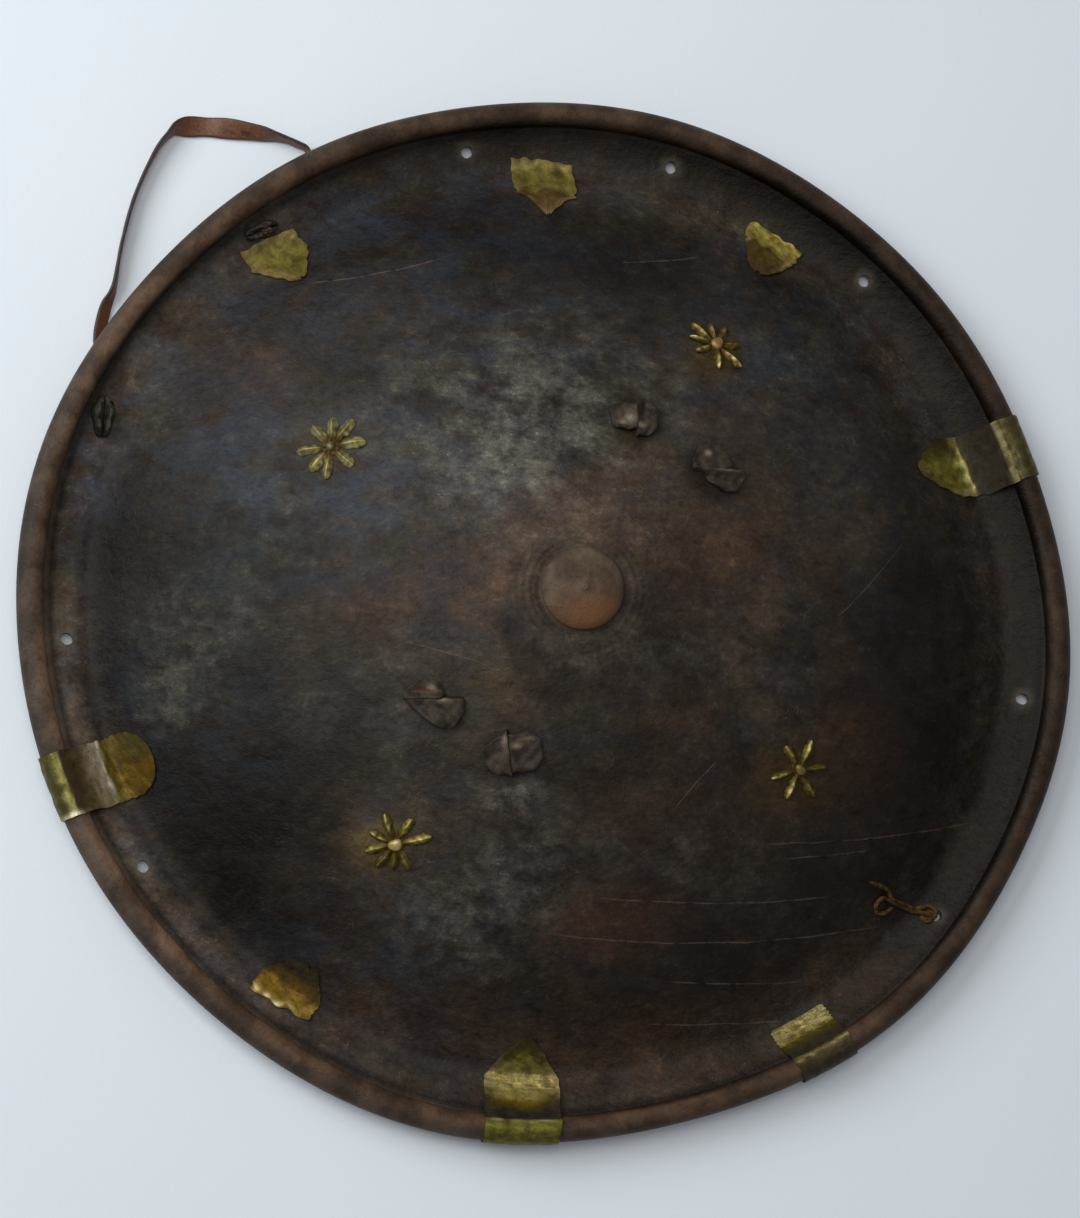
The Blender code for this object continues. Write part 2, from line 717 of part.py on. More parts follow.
def hand_grips():
    """Two straps behind the hide, each with a folded knot on the face at both ends."""
    grips = []
    for side, x in enumerate(GRIP_X):
        route = smooth_route(grip_route(x), 2)
        sizes = []
        for i, ahead in enumerate(directions(route)):
            from_end = min(i, len(route) - 1 - i)
            spread = min(1.0, max(0.0, (from_end - NECK_ROWS) / NECK_ROWS))
            half = 0.5 * (NECK_W + (GRIP_W - NECK_W) * spread)
            through = Vector((0, -ahead.z, ahead.y)) * (GRIP_T / 2)
            sizes.append((Vector((half, 0, 0)), through))
        grip = band(f"hand_grip_{side + 1}", route, sizes, "grip_leather")
        for end, y in enumerate(GRIP_Y):
            turn, *tabs = KNOTS[side, end]
            fold = math.radians(turn + 90)
            for half, tab_sizes in enumerate(tabs):
                name = f"grip_tab_{side}{end}{half}"
                heading = fold + half * math.pi
                high = 0.0016 * (1 - half)
                tab = folded_tab(name, x, y, heading, tab_sizes, high)
                combine(grip, tab, "UNION")
        grips.append(grip)
    return grips


def carrying_strap():
    """A flat strap laid out beyond the rim, its narrowed ends knotted through two holes."""
    route = smooth_route([p[:3] for p in STRAP_ROUTE], STRAP_STEPS)
    shape = smooth_route([(p[3], math.radians(p[4]), 0.0) for p in STRAP_ROUTE], STRAP_STEPS)
    sizes = []
    level = Vector((1, 0, 0))
    for ahead, (width, lean, _) in zip(directions(route), shape):
        level = (level - level.dot(ahead) * ahead).normalized()
        flat = ahead.cross(Vector((0, 0, 1)))
        level = level.lerp(math.copysign(1, level.dot(flat)) * flat, LEVELLING * flat.length)
        level = (level - level.dot(ahead) * ahead).normalized()
        across = math.cos(lean) * level + math.sin(lean) * level.cross(ahead)
        sizes.append((across * width / 2, across.cross(ahead) * STRAP_T / 2))
    strap = band("carrying_strap", route, sizes, "strap_leather")
    for number, knot in enumerate(STRAP_KNOTS, 1):
        combine(strap, strap_knot(f"strap_knot_{number}", knot), "UNION")
    return strap


def strap_knot(name, knot):
    """The end of the strap doubled into a lump that can't slip back through its hole."""
    index, bearing, half_length, half_width, height, shift, outwards = knot
    hole = warped(HOLE_CIRCLE + outwards, hole_turn(index), 0.0)
    turn = math.radians(bearing)
    along = Vector((math.cos(turn), math.sin(turn)))
    aside = Vector((-along.y, along.x))
    rows, columns = 5, 4
    lower, upper = [], []
    for share in between(-1.0, 1.0, rows):
        half = half_width * math.sqrt(1 - 0.7 * share**2)
        for across in between(-1.0, 1.0, columns):
            place = hole.xy + (shift + half_length * share) * along + across * half * aside
            swell = height * (1 - 0.45 * share**2) * (1 - 0.30 * across**2)
            lower.append(on_face(place.x, place.y, SHEET_GAP))
            upper.append(on_face(place.x, place.y, SHEET_GAP + swell))
    return new_object(name, lower + upper, slab_faces(rows, columns), "strap_leather")


def iron_wire():
    """A twist of wire in one hole: an eye, two strands side by side, and two free ends."""
    turn = hole_turn(WIRE_HOLE)
    outwards = Vector((math.cos(turn), math.sin(turn)))
    left = Vector((-outwards.y, outwards.x))

    def route(points):
        placed = []
        for inwards, aside, lift in points:
            place = (HOLE_CIRCLE - inwards) * outwards + aside * left
            placed.append(on_face(place.x, place.y, lift))
        return smooth_route(placed, 2)

    wire = round_wire("iron_wire", route(WIRE_MAIN), WIRE_R, WIRE_SIDES, "rusty_iron")
    branch = round_wire("wire_branch", route(WIRE_BRANCH), WIRE_R, WIRE_SIDES, "rusty_iron")
    combine(wire, branch, "UNION")
    return wire


def clear_scene():
    for obj in list(bpy.data.objects):
        bpy.data.objects.remove(obj, do_unlink=True)


def main():
    clear_scene()
    hide_body()
    rim_clips()
    broken_plates()
    stars()
    hand_grips()
    carrying_strap()
    iron_wire()


main()
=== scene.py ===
# %% [markdown]
# # A round hide shield, piece by piece
# The real one is a single thick hide, wetted, pressed over a mould and dried hard. A button is
# turned up in the middle, the edge is rolled into a bead, and brass is clipped and pinned on.
# The solids of every piece are loaded first. They fix each size and place. Every cell after that
# makes the fine surface of one piece as a function of two numbers, and lays it where its solid is.

# %% Load the solids
import math
from functools import reduce

import bmesh
import bpy
import numpy as np
from mathutils import Matrix, Vector


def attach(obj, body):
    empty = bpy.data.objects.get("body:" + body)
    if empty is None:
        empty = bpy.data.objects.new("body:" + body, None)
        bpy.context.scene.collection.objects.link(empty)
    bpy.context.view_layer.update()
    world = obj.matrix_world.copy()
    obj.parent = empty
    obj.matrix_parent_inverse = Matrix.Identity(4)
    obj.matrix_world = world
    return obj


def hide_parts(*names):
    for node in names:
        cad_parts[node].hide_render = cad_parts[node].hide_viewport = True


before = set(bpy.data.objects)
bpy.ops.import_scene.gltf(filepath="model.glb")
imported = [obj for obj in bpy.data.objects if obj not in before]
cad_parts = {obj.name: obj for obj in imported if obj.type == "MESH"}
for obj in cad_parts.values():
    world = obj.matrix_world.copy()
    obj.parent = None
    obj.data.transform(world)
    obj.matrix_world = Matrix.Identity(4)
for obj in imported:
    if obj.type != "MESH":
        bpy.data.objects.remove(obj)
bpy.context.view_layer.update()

# %% [markdown]
# ## Where the light and the eye are
# The shield is looked down on almost square, a little from what was its lower left as it hung. A
# long lens from two metres off keeps the dome from bulging. The bearing that was upwards while the
# shield hung on its strap stays upwards in the view. The lamps are broad and soft, and stand on
# the upper left.

# %% Camera
HUNG_UP = math.radians(125.3)  # bearing that was upwards when the shield hung
EYE_BEARING, EYE_HEIGHT = math.radians(259.55), math.radians(77.4)
EYE_AWAY = 2.0
LOOKED_AT = Vector((-0.0085, -0.0016, 0.0))


def towards(bearing, height):
    """The unit vector with that bearing on the ground and that angle above it."""
    flat = math.cos(height)
    return Vector((flat * math.cos(bearing), flat * math.sin(bearing), math.sin(height)))


def facing(at, back, up):
    """A matrix for something at a point that looks against back, with up as near as can be."""
    right = up.cross(back).normalized()
    top = back.cross(right)
    turned = Matrix((right, top, back)).transposed().to_4x4()
    return Matrix.Translation(at) @ turned


def linked(name, data):
    """A new object over some data, in the scene."""
    made = bpy.data.objects.new(name, data)
    bpy.context.scene.collection.objects.link(made)
    return made


camera = linked("camera", bpy.data.cameras.new("camera"))
camera.data.sensor_width = 36.0
camera.data.lens = 100.1
back = towards(EYE_BEARING, EYE_HEIGHT)
camera.matrix_world = facing(LOOKED_AT + EYE_AWAY * back, back, towards(HUNG_UP, 0))
bpy.context.scene.camera = camera
print("camera at", [round(v, 3) for v in camera.location])

# %% Floor and lamps
def lamp(name, bearing, height, away, size, power, colour):
    """A square soft box that shines at the middle of the shield."""
    made = linked(name, bpy.data.lights.new(name, "AREA"))
    made.data.size = size
    made.data.energy = power
    made.data.color = colour
    back = towards(HUNG_UP + bearing, height)
    made.matrix_world = facing(away * back, back, Vector((0, 0, 1)))


# bearings are counted from the hung top, anticlockwise
lamp("window", math.radians(62), math.radians(40), 2.6, 1.7, 52, (0.96, 0.97, 0.93))
lamp("ceiling", math.radians(60), math.radians(79), 2.8, 1.3, 22, (1.0, 0.98, 0.92))

world = bpy.data.worlds.new("room")
world.use_nodes = True
world.node_tree.nodes["Background"].inputs["Color"].default_value = (0.96, 0.965, 0.94, 1)
world.node_tree.nodes["Background"].inputs["Strength"].default_value = 0.28
bpy.context.scene.world = world
bpy.context.scene.view_settings.view_transform = "Standard"

# %% [markdown]
# ## Helpers
# A surface here is a grid of points: numpy works out all of them at once, and four neighbours make
# a face. Two grids, one over the other, close into a slab, which is how sheet brass and folded
# leather are made. Rings in a row close into a tube, for straps, wire, pins and the cutting
# blades. Each mesh is turned so that its faces point outwards.

# %% Grids and slabs
SHARP = 38  # degrees
SQUARE = ((-1, -1), (1, -1), (1, 1), (-1, 1))


def quads(rows, columns, loop_rows=False, loop_columns=False):
    """The faces of a grid numbered row by row: four corner numbers for each."""
    n = np.arange(rows * columns).reshape(rows, columns)
    if loop_rows:
        n = np.vstack([n, n[:1]])
    if loop_columns:
        n = np.hstack([n, n[:, :1]])
    corners = [n[:-1, :-1], n[1:, :-1], n[1:, 1:], n[:-1, 1:]]
    return np.stack(corners, -1).reshape(-1, 4)


def circle(count):
    """Bearings once round, evenly spaced."""
    return np.linspace(0, 2 * np.pi, count, endpoint=False)


def lattice(first, rows, columns):
    """Numbers s along from first to 1, and t across from -1 to 1, on a grid."""
    return np.meshgrid(np.linspace(first, 1, rows), np.linspace(-1, 1, columns), indexing="ij")


def slab(upper, lower):
    """Points and faces of a closed slab between two grids of the same size."""
    rows, columns = upper.shape[:2]
    rings = np.concatenate([upper, lower[:, ::-1]], axis=1)
    faces = quads(rows, 2 * columns, loop_columns=True)
    first = np.arange(columns - 1)
    ends = []
    for row in (0, rows - 1):
        low = row * 2 * columns
        end = np.stack([first, first + 1, 2 * columns - 2 - first, 2 * columns - 1 - first], -1)
        ends.append(low + (end if row else end[:, ::-1]))
    return rings.reshape(-1, 3), np.concatenate([faces, *ends])


def tube_faces(rows, columns):
    """The faces of a closed tube over rings of points: its side, and a cap at each end."""
    ring = np.arange(columns)[None]
    return [quads(rows, columns, loop_columns=True), ring[:, ::-1], (rows - 1) * columns + ring]


def tube(rings):
    """Points and faces of a closed tube over rings of points."""
    return rings.reshape(-1, 3), tube_faces(*rings.shape[:2])


def round_slab(values):
    """Values on one side of a slab, kept for its other side too, in the order of its points."""
    return np.concatenate([values, values[:, ::-1]], axis=1)


def volume(points, faces):
    """Signed volume: the sum over fans of triangles of p0 . (p1 x p2) / 6."""
    total = 0.0
    for i in range(1, faces.shape[1] - 1):
        a, b, c = points[faces[:, 0]], points[faces[:, i]], points[faces[:, i + 1]]
        total += np.einsum("ij,ij->i", a, np.cross(b, c)).sum() / 6
    return total


def joined(*shells):
    """Several closed shells of points and faces as one, each turned outwards."""
    points, faces, start = [], [], 0
    for shell_points, shell_faces in shells:
        groups = shell_faces if isinstance(shell_faces, list) else [shell_faces]
        if sum(volume(shell_points, g) for g in groups) < 0:
            groups = [g[:, ::-1] for g in groups]
        points.append(shell_points)
        faces += [g + start for g in groups]
        start += len(shell_points)
    return np.concatenate(points), faces


def mesh_of(name, shells):
    """One mesh over several closed shells."""
    points, groups = joined(*shells)
    mesh = bpy.data.meshes.new(name)
    mesh.from_pydata(points.tolist(), [], sum((g.tolist() for g in groups), []))
    return mesh


def shade(mesh, sharp=SHARP):
    """Smooth shading, except over edges that turn by more than an angle in degrees."""
    mesh.shade_smooth()
    mesh.set_sharp_from_angle(angle=math.radians(sharp))


def piece(name, shells, finish, node=None, sharp=SHARP):
    """A mesh object at the origin from one shell or a list of them, riding on the shield."""
    made = linked(name, mesh_of(name, shells if isinstance(shells, list) else [shells]))
    shade(made.data, sharp)
    made.data.materials.append(finish)
    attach(made, "root")
    if node:
        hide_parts(node)
    print(name, len(made.data.vertices), "points")
    return made


# %% Curves and unevenness


def flowing(points, steps):
    """A Catmull-Rom curve through the given points, with steps to each stretch."""
    p = np.asarray(points, float)
    p = np.vstack([2 * p[0] - p[1], p, 2 * p[-1] - p[-2]])
    t = (np.arange(steps) / steps)[None, :, None]
    a, b, c, d = (p[i : len(p) - 3 + i, None] for i in range(4))
    curve = 2 * b + (c - a) * t + (2 * a - 5 * b + 4 * c - d) * t**2
    curve = 0.5 * (curve + (3 * b - a - 3 * c + d) * t**3)
    return np.vstack([curve.reshape(-1, p.shape[1]), p[-2]])


def headings(line):
    """Unit vectors along a line of points."""
    ahead = np.gradient(line, axis=0)
    return ahead / np.linalg.norm(ahead, axis=1)[:, None]


def oblong(sides, flatness, roundness):
    """A ring of points on |x|^flatness + |y|^roundness = 1."""
    x, y = np.cos(circle(sides)), np.sin(circle(sides))
    return np.sign(x) * np.abs(x) ** (2 / flatness), np.sign(y) * np.abs(y) ** (2 / roundness)


def laid(x, y, turn, along, across):
    """Ground places so far along a bearing from one place, and so far to the left of it."""
    c, s = math.cos(turn), math.sin(turn)
    return x + along * c - across * s, y + along * s + across * c


def uneven(x, y, wavelength, seed, waves=9):
    """A smooth random field near -1 to 1: sine waves of about one length in seeded directions."""
    rng = np.random.default_rng(seed)
    total = 0.0
    for _ in range(waves):
        turn, phase = rng.uniform(0, 2 * np.pi, 2)
        k = 2 * np.pi / (wavelength * rng.uniform(0.7, 1.5))
        total = total + np.sin(k * (x * np.cos(turn) + y * np.sin(turn)) + phase)
    return total / math.sqrt(waves)


def smooth(t):
    """0 below 0, 1 above 1, and 3t^2 - 2t^3 between."""
    t = np.clip(t, 0, 1)
    return t * t * (3 - 2 * t)


# %% [markdown]
# ## The shape of the hide
# Seen in section the face is a parabola for the dome and a straight line for the flange. The
# softest join of two lines is a hyperbola: half their sum plus half the root of their squared
# difference and a small blend. The plan is a circle with a few slow waves, since no hide dries
# round. Everything that lies on the hide asks these functions where the surface is.

# %% The hide's formulas
RIM_R, HIDE_T, DOME_RISE = 0.310, 0.0045, 0.099
GUTTER_R, GUTTER_BLEND, FLANGE_SLOPE, FOOT_CUT = 0.271, 0.005, 0.45, 0.0004
BEAD_R, BEAD_LIFT, BEAD_ROWS = 0.0075, 0.0045, 30
RIM_LOBES = ((2, 0.0024, 12), (3, 0.0008, -5), (4, 0.0015, 16), (7, 0.0005, -15))
EDGE_IN = 0.0006
EDGE_LOBES = (
    (1, -0.0015, 50), (2, -0.0008, -16), (3, -0.0003, -46), (4, -0.0003, -1), (5, -0.0005, 35),
    (6, -0.0005, 11.5), (8, -0.0008, 2.3), (9, -0.0003, 11),
)
WARP_FROM, WARP_TO = 0.15, 0.27  # radii between which the uneven plan comes in
EDGE_FROM, EDGE_FADE = 0.285, 0.014  # the same for the finer wobble, and how far it takes
DENTED_FROM, DENTED_TO, DENTED_FADE = 0.035, 0.262, 0.03
DENTS = ((0.00055, 0.085, 3), (0.00022, 0.033, 4))  # depth, length of the waves and seed
FALL = 2 * DOME_RISE / GUTTER_R
LOWEST = GUTTER_BLEND * math.sqrt(FALL * FLANGE_SLOPE) / (FALL + FLANGE_SLOPE)
FACE_BASE = HIDE_T - FOOT_CUT - LOWEST


def face_z(r):
    """Height of the face at a radius: dome and flange in a soft gutter."""
    dome = DOME_RISE * (1 - (r / GUTTER_R) ** 2)
    flange = FLANGE_SLOPE * (r - GUTTER_R)
    return 0.5 * (dome + flange + np.hypot(dome - flange, GUTTER_BLEND)) + FACE_BASE


def face_slope(r):
    """Rise of the face for each metre outwards."""
    return (face_z(r + 1e-5) - face_z(r - 1e-5)) / 2e-5


def offset_face(r, off):
    """Radius and height of the point at a distance off from the face, square to it."""
    slope = face_slope(r)
    steep = np.hypot(1, slope)
    return r - off * slope / steep, face_z(r) + off / steep


def back_z(r):
    """Height of the back: the face less the thickness, and never under the ground."""
    return np.maximum(0.0, face_z(r) - HIDE_T * np.hypot(1, face_slope(r)))


BEAD_C = np.array((RIM_R - BEAD_R, face_z(RIM_R - 2 * BEAD_R) + BEAD_LIFT))


def meets_bead(off, back=False):
    """Radius at which the face, or the back, moved out by off, meets the bead grown by off."""
    low, high = RIM_R - 4 * BEAD_R, RIM_R - BEAD_R
    for _ in range(40):
        r = 0.5 * (low + high)
        at = np.array(offset_face(r, -HIDE_T - off if back else off))
        low, high = (r, high) if np.hypot(*(at - BEAD_C)) > BEAD_R + off else (low, r)
    return low


def over_bead(off, count):
    """The arc from the crease of the flange over the bead to its back, offset outwards."""
    start = np.array(offset_face(meets_bead(off), off)) - BEAD_C
    end = np.array(offset_face(meets_bead(off, True), -HIDE_T - off)) - BEAD_C
    first = math.atan2(start[1], start[0]) % (2 * math.pi)
    last = math.atan2(end[1], end[0]) % (2 * math.pi) - 2 * math.pi
    turn = np.linspace(first, last, count)
    return BEAD_C[0] + (BEAD_R + off) * np.cos(turn), BEAD_C[1] + (BEAD_R + off) * np.sin(turn)


def lobed(turn, lobes):
    """The sum of size cos(n (turn - at)) over lobes of (n, size, at)."""
    return sum(size * np.cos(n * (turn - math.radians(at))) for n, size, at in lobes)


def rim_shift(turn):
    """How far the rim stands out from its mean radius at a bearing."""
    return lobed(turn, RIM_LOBES)


def warp_share(r):
    """The share of the rim's shift that counts at a radius."""
    return smooth((r - WARP_FROM) / (WARP_TO - WARP_FROM))


def edge_shift(r, turn):
    """The finer wobble of the rolled edge, which dies out on the flange."""
    return (lobed(turn, EDGE_LOBES) - EDGE_IN) * smooth((r - EDGE_FROM) / EDGE_FADE)


def dents(x, y):
    """Slow dents of the dried hide, which fade out before the gutter."""
    r = np.hypot(x, y)
    share = smooth((r - DENTED_FROM) / DENTED_FADE) * smooth((DENTED_TO - r) / DENTED_FADE)
    return share * sum(deep * uneven(x, y, wave, seed) for deep, wave, seed in DENTS)


def warped(r, turn, z):
    """Points at radii, bearings and heights, on the shield's uneven plan, with its dents."""
    out = r + rim_shift(turn) * warp_share(r) + edge_shift(r, turn)
    x, y = out * np.cos(turn), out * np.sin(turn)
    return np.stack(np.broadcast_arrays(x, y, z + dents(x, y)), -1)


def on_face(x, y, lift):
    """Points over places on the face, lifted square to it."""
    r, z = offset_face(np.hypot(x, y), lift)
    return warped(r, np.arctan2(y, x), z)


print("bead centre", BEAD_C.round(4), "crown", round(float(face_z(0.029)), 4))

# %% [markdown]
# ## Finishes
# Each finish is a Principled shader fed by noise in the object's own coordinates, so that nothing
# slides when the shield is turned. A short class keeps the wiring readable: each method adds one
# node and hands back what comes out of it.

# %% A small kit for finishes


class Finish:
    """A material under construction."""

    def __init__(self, name):
        self.material = bpy.data.materials.new(name)
        self.material.use_nodes = True
        self.tree = self.material.node_tree
        self.shader = self.tree.nodes["Principled BSDF"]
        self.place = self.add("TexCoord").outputs["Object"]

    def add(self, kind, inputs=(), **options):
        """Adds a node, sets its options, and feeds its inputs by name or number."""
        made = self.tree.nodes.new("ShaderNode" + kind)
        for option, value in options.items():
            setattr(made, option, value)
        for socket, value in dict(inputs).items():
            self.feed(made.inputs[socket], value)
        return made

    def feed(self, socket, value):
        """Gives a socket another node's output, or a constant."""
        if isinstance(value, bpy.types.NodeSocket):
            self.tree.links.new(value, socket)
        else:
            socket.default_value = (*value, 1) if socket.type == "RGBA" else value

    def mapped(self, vector, scale=(1, 1, 1), turn=0.0):
        """Coordinates turned about the upright axis, then stretched."""
        inputs = {"Vector": vector, "Rotation": (0, 0, turn), "Scale": scale}
        return self.add("Mapping", inputs).outputs["Vector"]

    def noise(self, scale, detail=4.0, rough=0.55, vector=None, bend=0.0):
        """Fractal noise from 0 to 1, scale counted in waves to the metre."""
        inputs = {"Vector": self.place if vector is None else vector, "Scale": scale}
        inputs |= {"Detail": detail, "Roughness": rough, "Distortion": bend}
        return self.add("TexNoise", inputs).outputs["Fac"]

    def field(self, name):
        """A number kept at the points of the mesh."""
        return self.add("Attribute", attribute_name=name).outputs["Fac"]

    def sum(self, kind, *values):
        """A node of arithmetic: ADD, MULTIPLY, MULTIPLY_ADD, ABSOLUTE and so on."""
        return self.add("Math", enumerate(values), operation=kind).outputs[0]

    def product(self, *values):
        """The product of several numbers."""
        return reduce(lambda first, other: self.sum("MULTIPLY", first, other), values)

    def highest(self, marks):
        """The highest of several numbers."""
        return reduce(lambda first, other: self.sum("MAXIMUM", first, other), marks)

    def step(self, value, low, high):
        """A soft step: 0 at low, 1 at high."""
        inputs = {"Value": value, "From Min": low, "From Max": high}
        return self.add("MapRange", inputs, interpolation_type="SMOOTHSTEP").outputs["Result"]

    def span(self, value, low, high):
        """Stretches 0..1 to low..high."""
        inputs = {"Value": value, "To Min": low, "To Max": high}
        return self.add("MapRange", inputs).outputs["Result"]

    def mix(self, share, first, second, kind="MIX"):
        """Blends two colours."""
        inputs = {0: share, 6: first, 7: second}
        return self.add("Mix", inputs, data_type="RGBA", blend_type=kind).outputs[2]

    def scaled(self, colour, factor):
        """A colour times a number."""
        inputs = {0: colour, "Scale": factor}
        return self.add("VectorMath", inputs, operation="SCALE").outputs["Vector"]

    def bump(self, height, depth, under=None):
        """A normal from a height of 0..1 that is depth metres deep."""
        inputs = {"Height": height, "Distance": depth}
        if under is not None:
            inputs["Normal"] = under
        return self.add("Bump", inputs).outputs["Normal"]

    def done(self, colour, roughness, normal, metallic=0.0, specular=0.5):
        """Wires the shader and returns the material."""
        sockets = self.shader.inputs
        self.feed(sockets["Base Color"], colour)
        self.feed(sockets["Roughness"], roughness)
        self.feed(sockets["Normal"], normal)
        self.feed(sockets["Metallic"], metallic)
        sockets["Specular IOR Level"].default_value = specular
        return self.material


def keep_field(mesh, name, values):
    """Stores one number for each point of a mesh, for a finish to read."""
    layer = mesh.attributes.new(name, "FLOAT", "POINT")
    layer.data.foreach_set("value", np.asarray(values, np.float32))


def points_of(mesh):
    """All points of a mesh as an array."""
    flat = np.empty(3 * len(mesh.vertices), np.float32)
    mesh.vertices.foreach_get("co", flat)
    return flat.reshape(-1, 3).astype(float)


# %% [markdown]
# ## Floor
# Plain and pale, so that it only catches the soft shadow.

# %% Floor
FLOOR_HALF, FLOOR_GAP = 6.0, 0.0002


def pale_floor():
    """A matt, nearly white paint with the faintest mottle."""
    paint = Finish("floor_paint")
    tone = paint.mix(paint.noise(3.0, 2.0), (0.68, 0.74, 0.83), (0.71, 0.765, 0.85))
    grain = paint.bump(paint.noise(300.0, 2.0), 0.0001)
    return paint.done(tone, 0.8, grain)


def make_floor():
    """One square, a hair under the shield."""
    mesh = bpy.data.meshes.new("floor")
    points = [(FLOOR_HALF * x, FLOOR_HALF * y, -FLOOR_GAP) for x, y in SQUARE]
    mesh.from_pydata(points, [], [(0, 1, 2, 3)])
    mesh.materials.append(pale_floor())
    made = linked("floor", mesh)


make_floor()

# %% [markdown]
# ## Carrying strap
# A flat leather strap, 12 mm wide. Its thin ends go through two lacing holes from behind and are
# knotted in front; the middle is free and now lies on the ground beside the rim. It is a band
# carried along a curve: at each station the width is kept level, then leaned on edge where the
# leather stands up. The route is the one its solid follows.

# %% Strap route
HOLES, HOLE_R, HOLE_CIRCLE, FIRST_HOLE = 13, 0.0035, 0.284, -2.3
HOLE_SHIFTS = {1: 0.9, 3: 2.2, 4: 2.3, 8: 0.4, 9: 0.8}  # degrees off even spacing
STRAP_W, STRAP_T, STRAP_SIDES, STRAP_LOWEST = 0.012, 0.0022, 28, 0.0002
# x, y, z, width, and lean of the width from level, in degrees
STRAP_ROUTE = (
    (-0.269, 0.085, 0.011, 0.006, 0), (-0.271, 0.0806, 0.011, 0.0046, 0),
    (-0.2721, 0.0789, 0.0076, 0.0048, 0), (-0.2726, 0.08, 0.0023, 0.0044, 0),
    (-0.2745, 0.09, 0.002, 0.006, 0), (-0.2738, 0.108, 0.0026, 0.007, 20),
    (-0.274, 0.126, 0.0042, 0.008, 50), (-0.2799, 0.1385, 0.0048, 0.0088, 84),
    (-0.2877, 0.138, 0.0053, 0.01, 88), (-0.2953, 0.1358, 0.0059, 0.0112, 88),
    (-0.3021, 0.1328, 0.0063, 0.0118, 76), (-0.3089, 0.1297, 0.006, 0.012, 58),
    (-0.3182, 0.125, 0.005, 0.012, 40), (-0.3278, 0.1198, 0.0034, 0.012, 20),
    (-0.3361, 0.1148, 0.0016, 0.012, 2), (-0.3435, 0.109, 0.0028, 0.012, 14),
    (-0.3489, 0.1029, 0.0055, 0.0118, 50), (-0.3508, 0.0965, 0.0061, 0.0114, 82),
    (-0.3508, 0.082, 0.0059, 0.0112, 90), (-0.3443, 0.0533, 0.0059, 0.0112, 90),
    (-0.3335, 0.0257, 0.0059, 0.0112, 90), (-0.3216, 0.0019, 0.0055, 0.0102, 80),
    (-0.3182, -0.011, 0.0044, 0.0088, 46), (-0.311, -0.027, 0.0037, 0.0076, 32),
    (-0.302, -0.037, 0.0033, 0.007, 18), (-0.292, -0.0488, 0.0023, 0.006, 5),
    (-0.2834, -0.0565, 0.0021, 0.0044, 0), (-0.282, -0.0577, 0.0076, 0.0048, 0),
    (-0.2813, -0.059, 0.0104, 0.0054, 0), (-0.279, -0.0625, 0.0106, 0.0062, 0),
)
STRAP_STEPS = 7
strap_line = flowing([p[:3] for p in STRAP_ROUTE], STRAP_STEPS)
strap_form = flowing([(p[3], math.radians(p[4])) for p in STRAP_ROUTE], STRAP_STEPS)
strap_length = float(np.linalg.norm(np.diff(strap_line, axis=0), axis=1).sum())
print("strap length", round(strap_length, 4), "m in", len(strap_line), "stations")

# %% Strap leather


def strap_leather():
    """Red-brown leather: rubbed paler along the middle, nearly black on the cut edges."""
    hide = Finish("strap_leather")
    cloud = hide.noise(55.0, 5.0, 0.6)
    fibre = hide.noise(900.0, 3.0, 0.6)
    tone = hide.mix(cloud, (0.058, 0.017, 0.0065), (0.155, 0.053, 0.018))
    tone = hide.mix(hide.step(fibre, 0.45, 0.75), tone, (0.20, 0.075, 0.029))
    worn = hide.step(hide.noise(140.0, 4.0), 0.56, 0.72)
    tone = hide.mix(worn, tone, (0.050, 0.018, 0.010))
    tone = hide.mix(hide.step(hide.field("edge"), 0.80, 0.97), tone, (0.022, 0.016, 0.016))
    skin = hide.bump(fibre, 0.0003, hide.bump(cloud, 0.0006))
    return hide.done(tone, hide.span(cloud, 0.42, 0.62), skin)


STRAP_LEATHER = strap_leather()

# %% Strap band


def strap_frames(line, lean, levelling):
    """Width and thickness directions at each station, carried along and drawn level."""
    ends = np.vstack([line[:1], line, line[-1:]])
    ahead = ends[2:] - ends[:-2]
    ahead /= np.linalg.norm(ahead, axis=1)[:, None]
    level, width, depth = Vector((1, 0, 0)), [], []
    for way, turn in zip(ahead, lean):
        way = Vector(way)
        level = (level - level.dot(way) * way).normalized()
        flat = way.cross(Vector((0, 0, 1)))
        level = level.lerp(math.copysign(1, level.dot(flat)) * flat, levelling * flat.length)
        level = (level - level.dot(way) * way).normalized()
        across = math.cos(turn) * level + math.sin(turn) * level.cross(way)
        width.append(across)
        depth.append(across.cross(way))
    return np.array(width), np.array(depth)


def make_strap():
    """A rounded oblong carried along the route: |x|^7 + |y|^3 = 1 in half widths."""
    across, through = strap_frames(strap_line, strap_form[:, 1], 0.2)
    flat, deep = oblong(STRAP_SIDES, 7, 3)
    s = np.arange(len(strap_line))[:, None]
    wavy = 1 + 0.05 * np.sin(0.61 * s) + 0.04 * np.sin(1.7 * s + 1)
    half = 0.5 * strap_form[:, :1] * (1 + 0.03 * np.sin(0.37 * s))
    rings = strap_line[:, None] + (flat * half)[..., None] * across[:, None]
    rings = rings + (deep * wavy * STRAP_T / 2)[..., None] * through[:, None]
    rings[..., 2] = np.maximum(rings[..., 2], STRAP_LOWEST)
    made = piece("carrying_strap_leather", tube(rings), STRAP_LEATHER)
    keep_field(made.data, "edge", np.tile(np.abs(flat), len(rings)))
    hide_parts("carrying_strap")
    return made


strap = make_strap()

# %% Strap knots
# hole, bearing of the length, half length, half width, height, and place of the middle from the
# hole: along the length, and outwards
STRAP_KNOTS = (
    (6, 62, 0.0105, 0.0043, 0.0050, 0.0020, 0.0034),
    (7, 125, 0.0120, 0.0062, 0.0056, -0.0080, 0.0002),
)


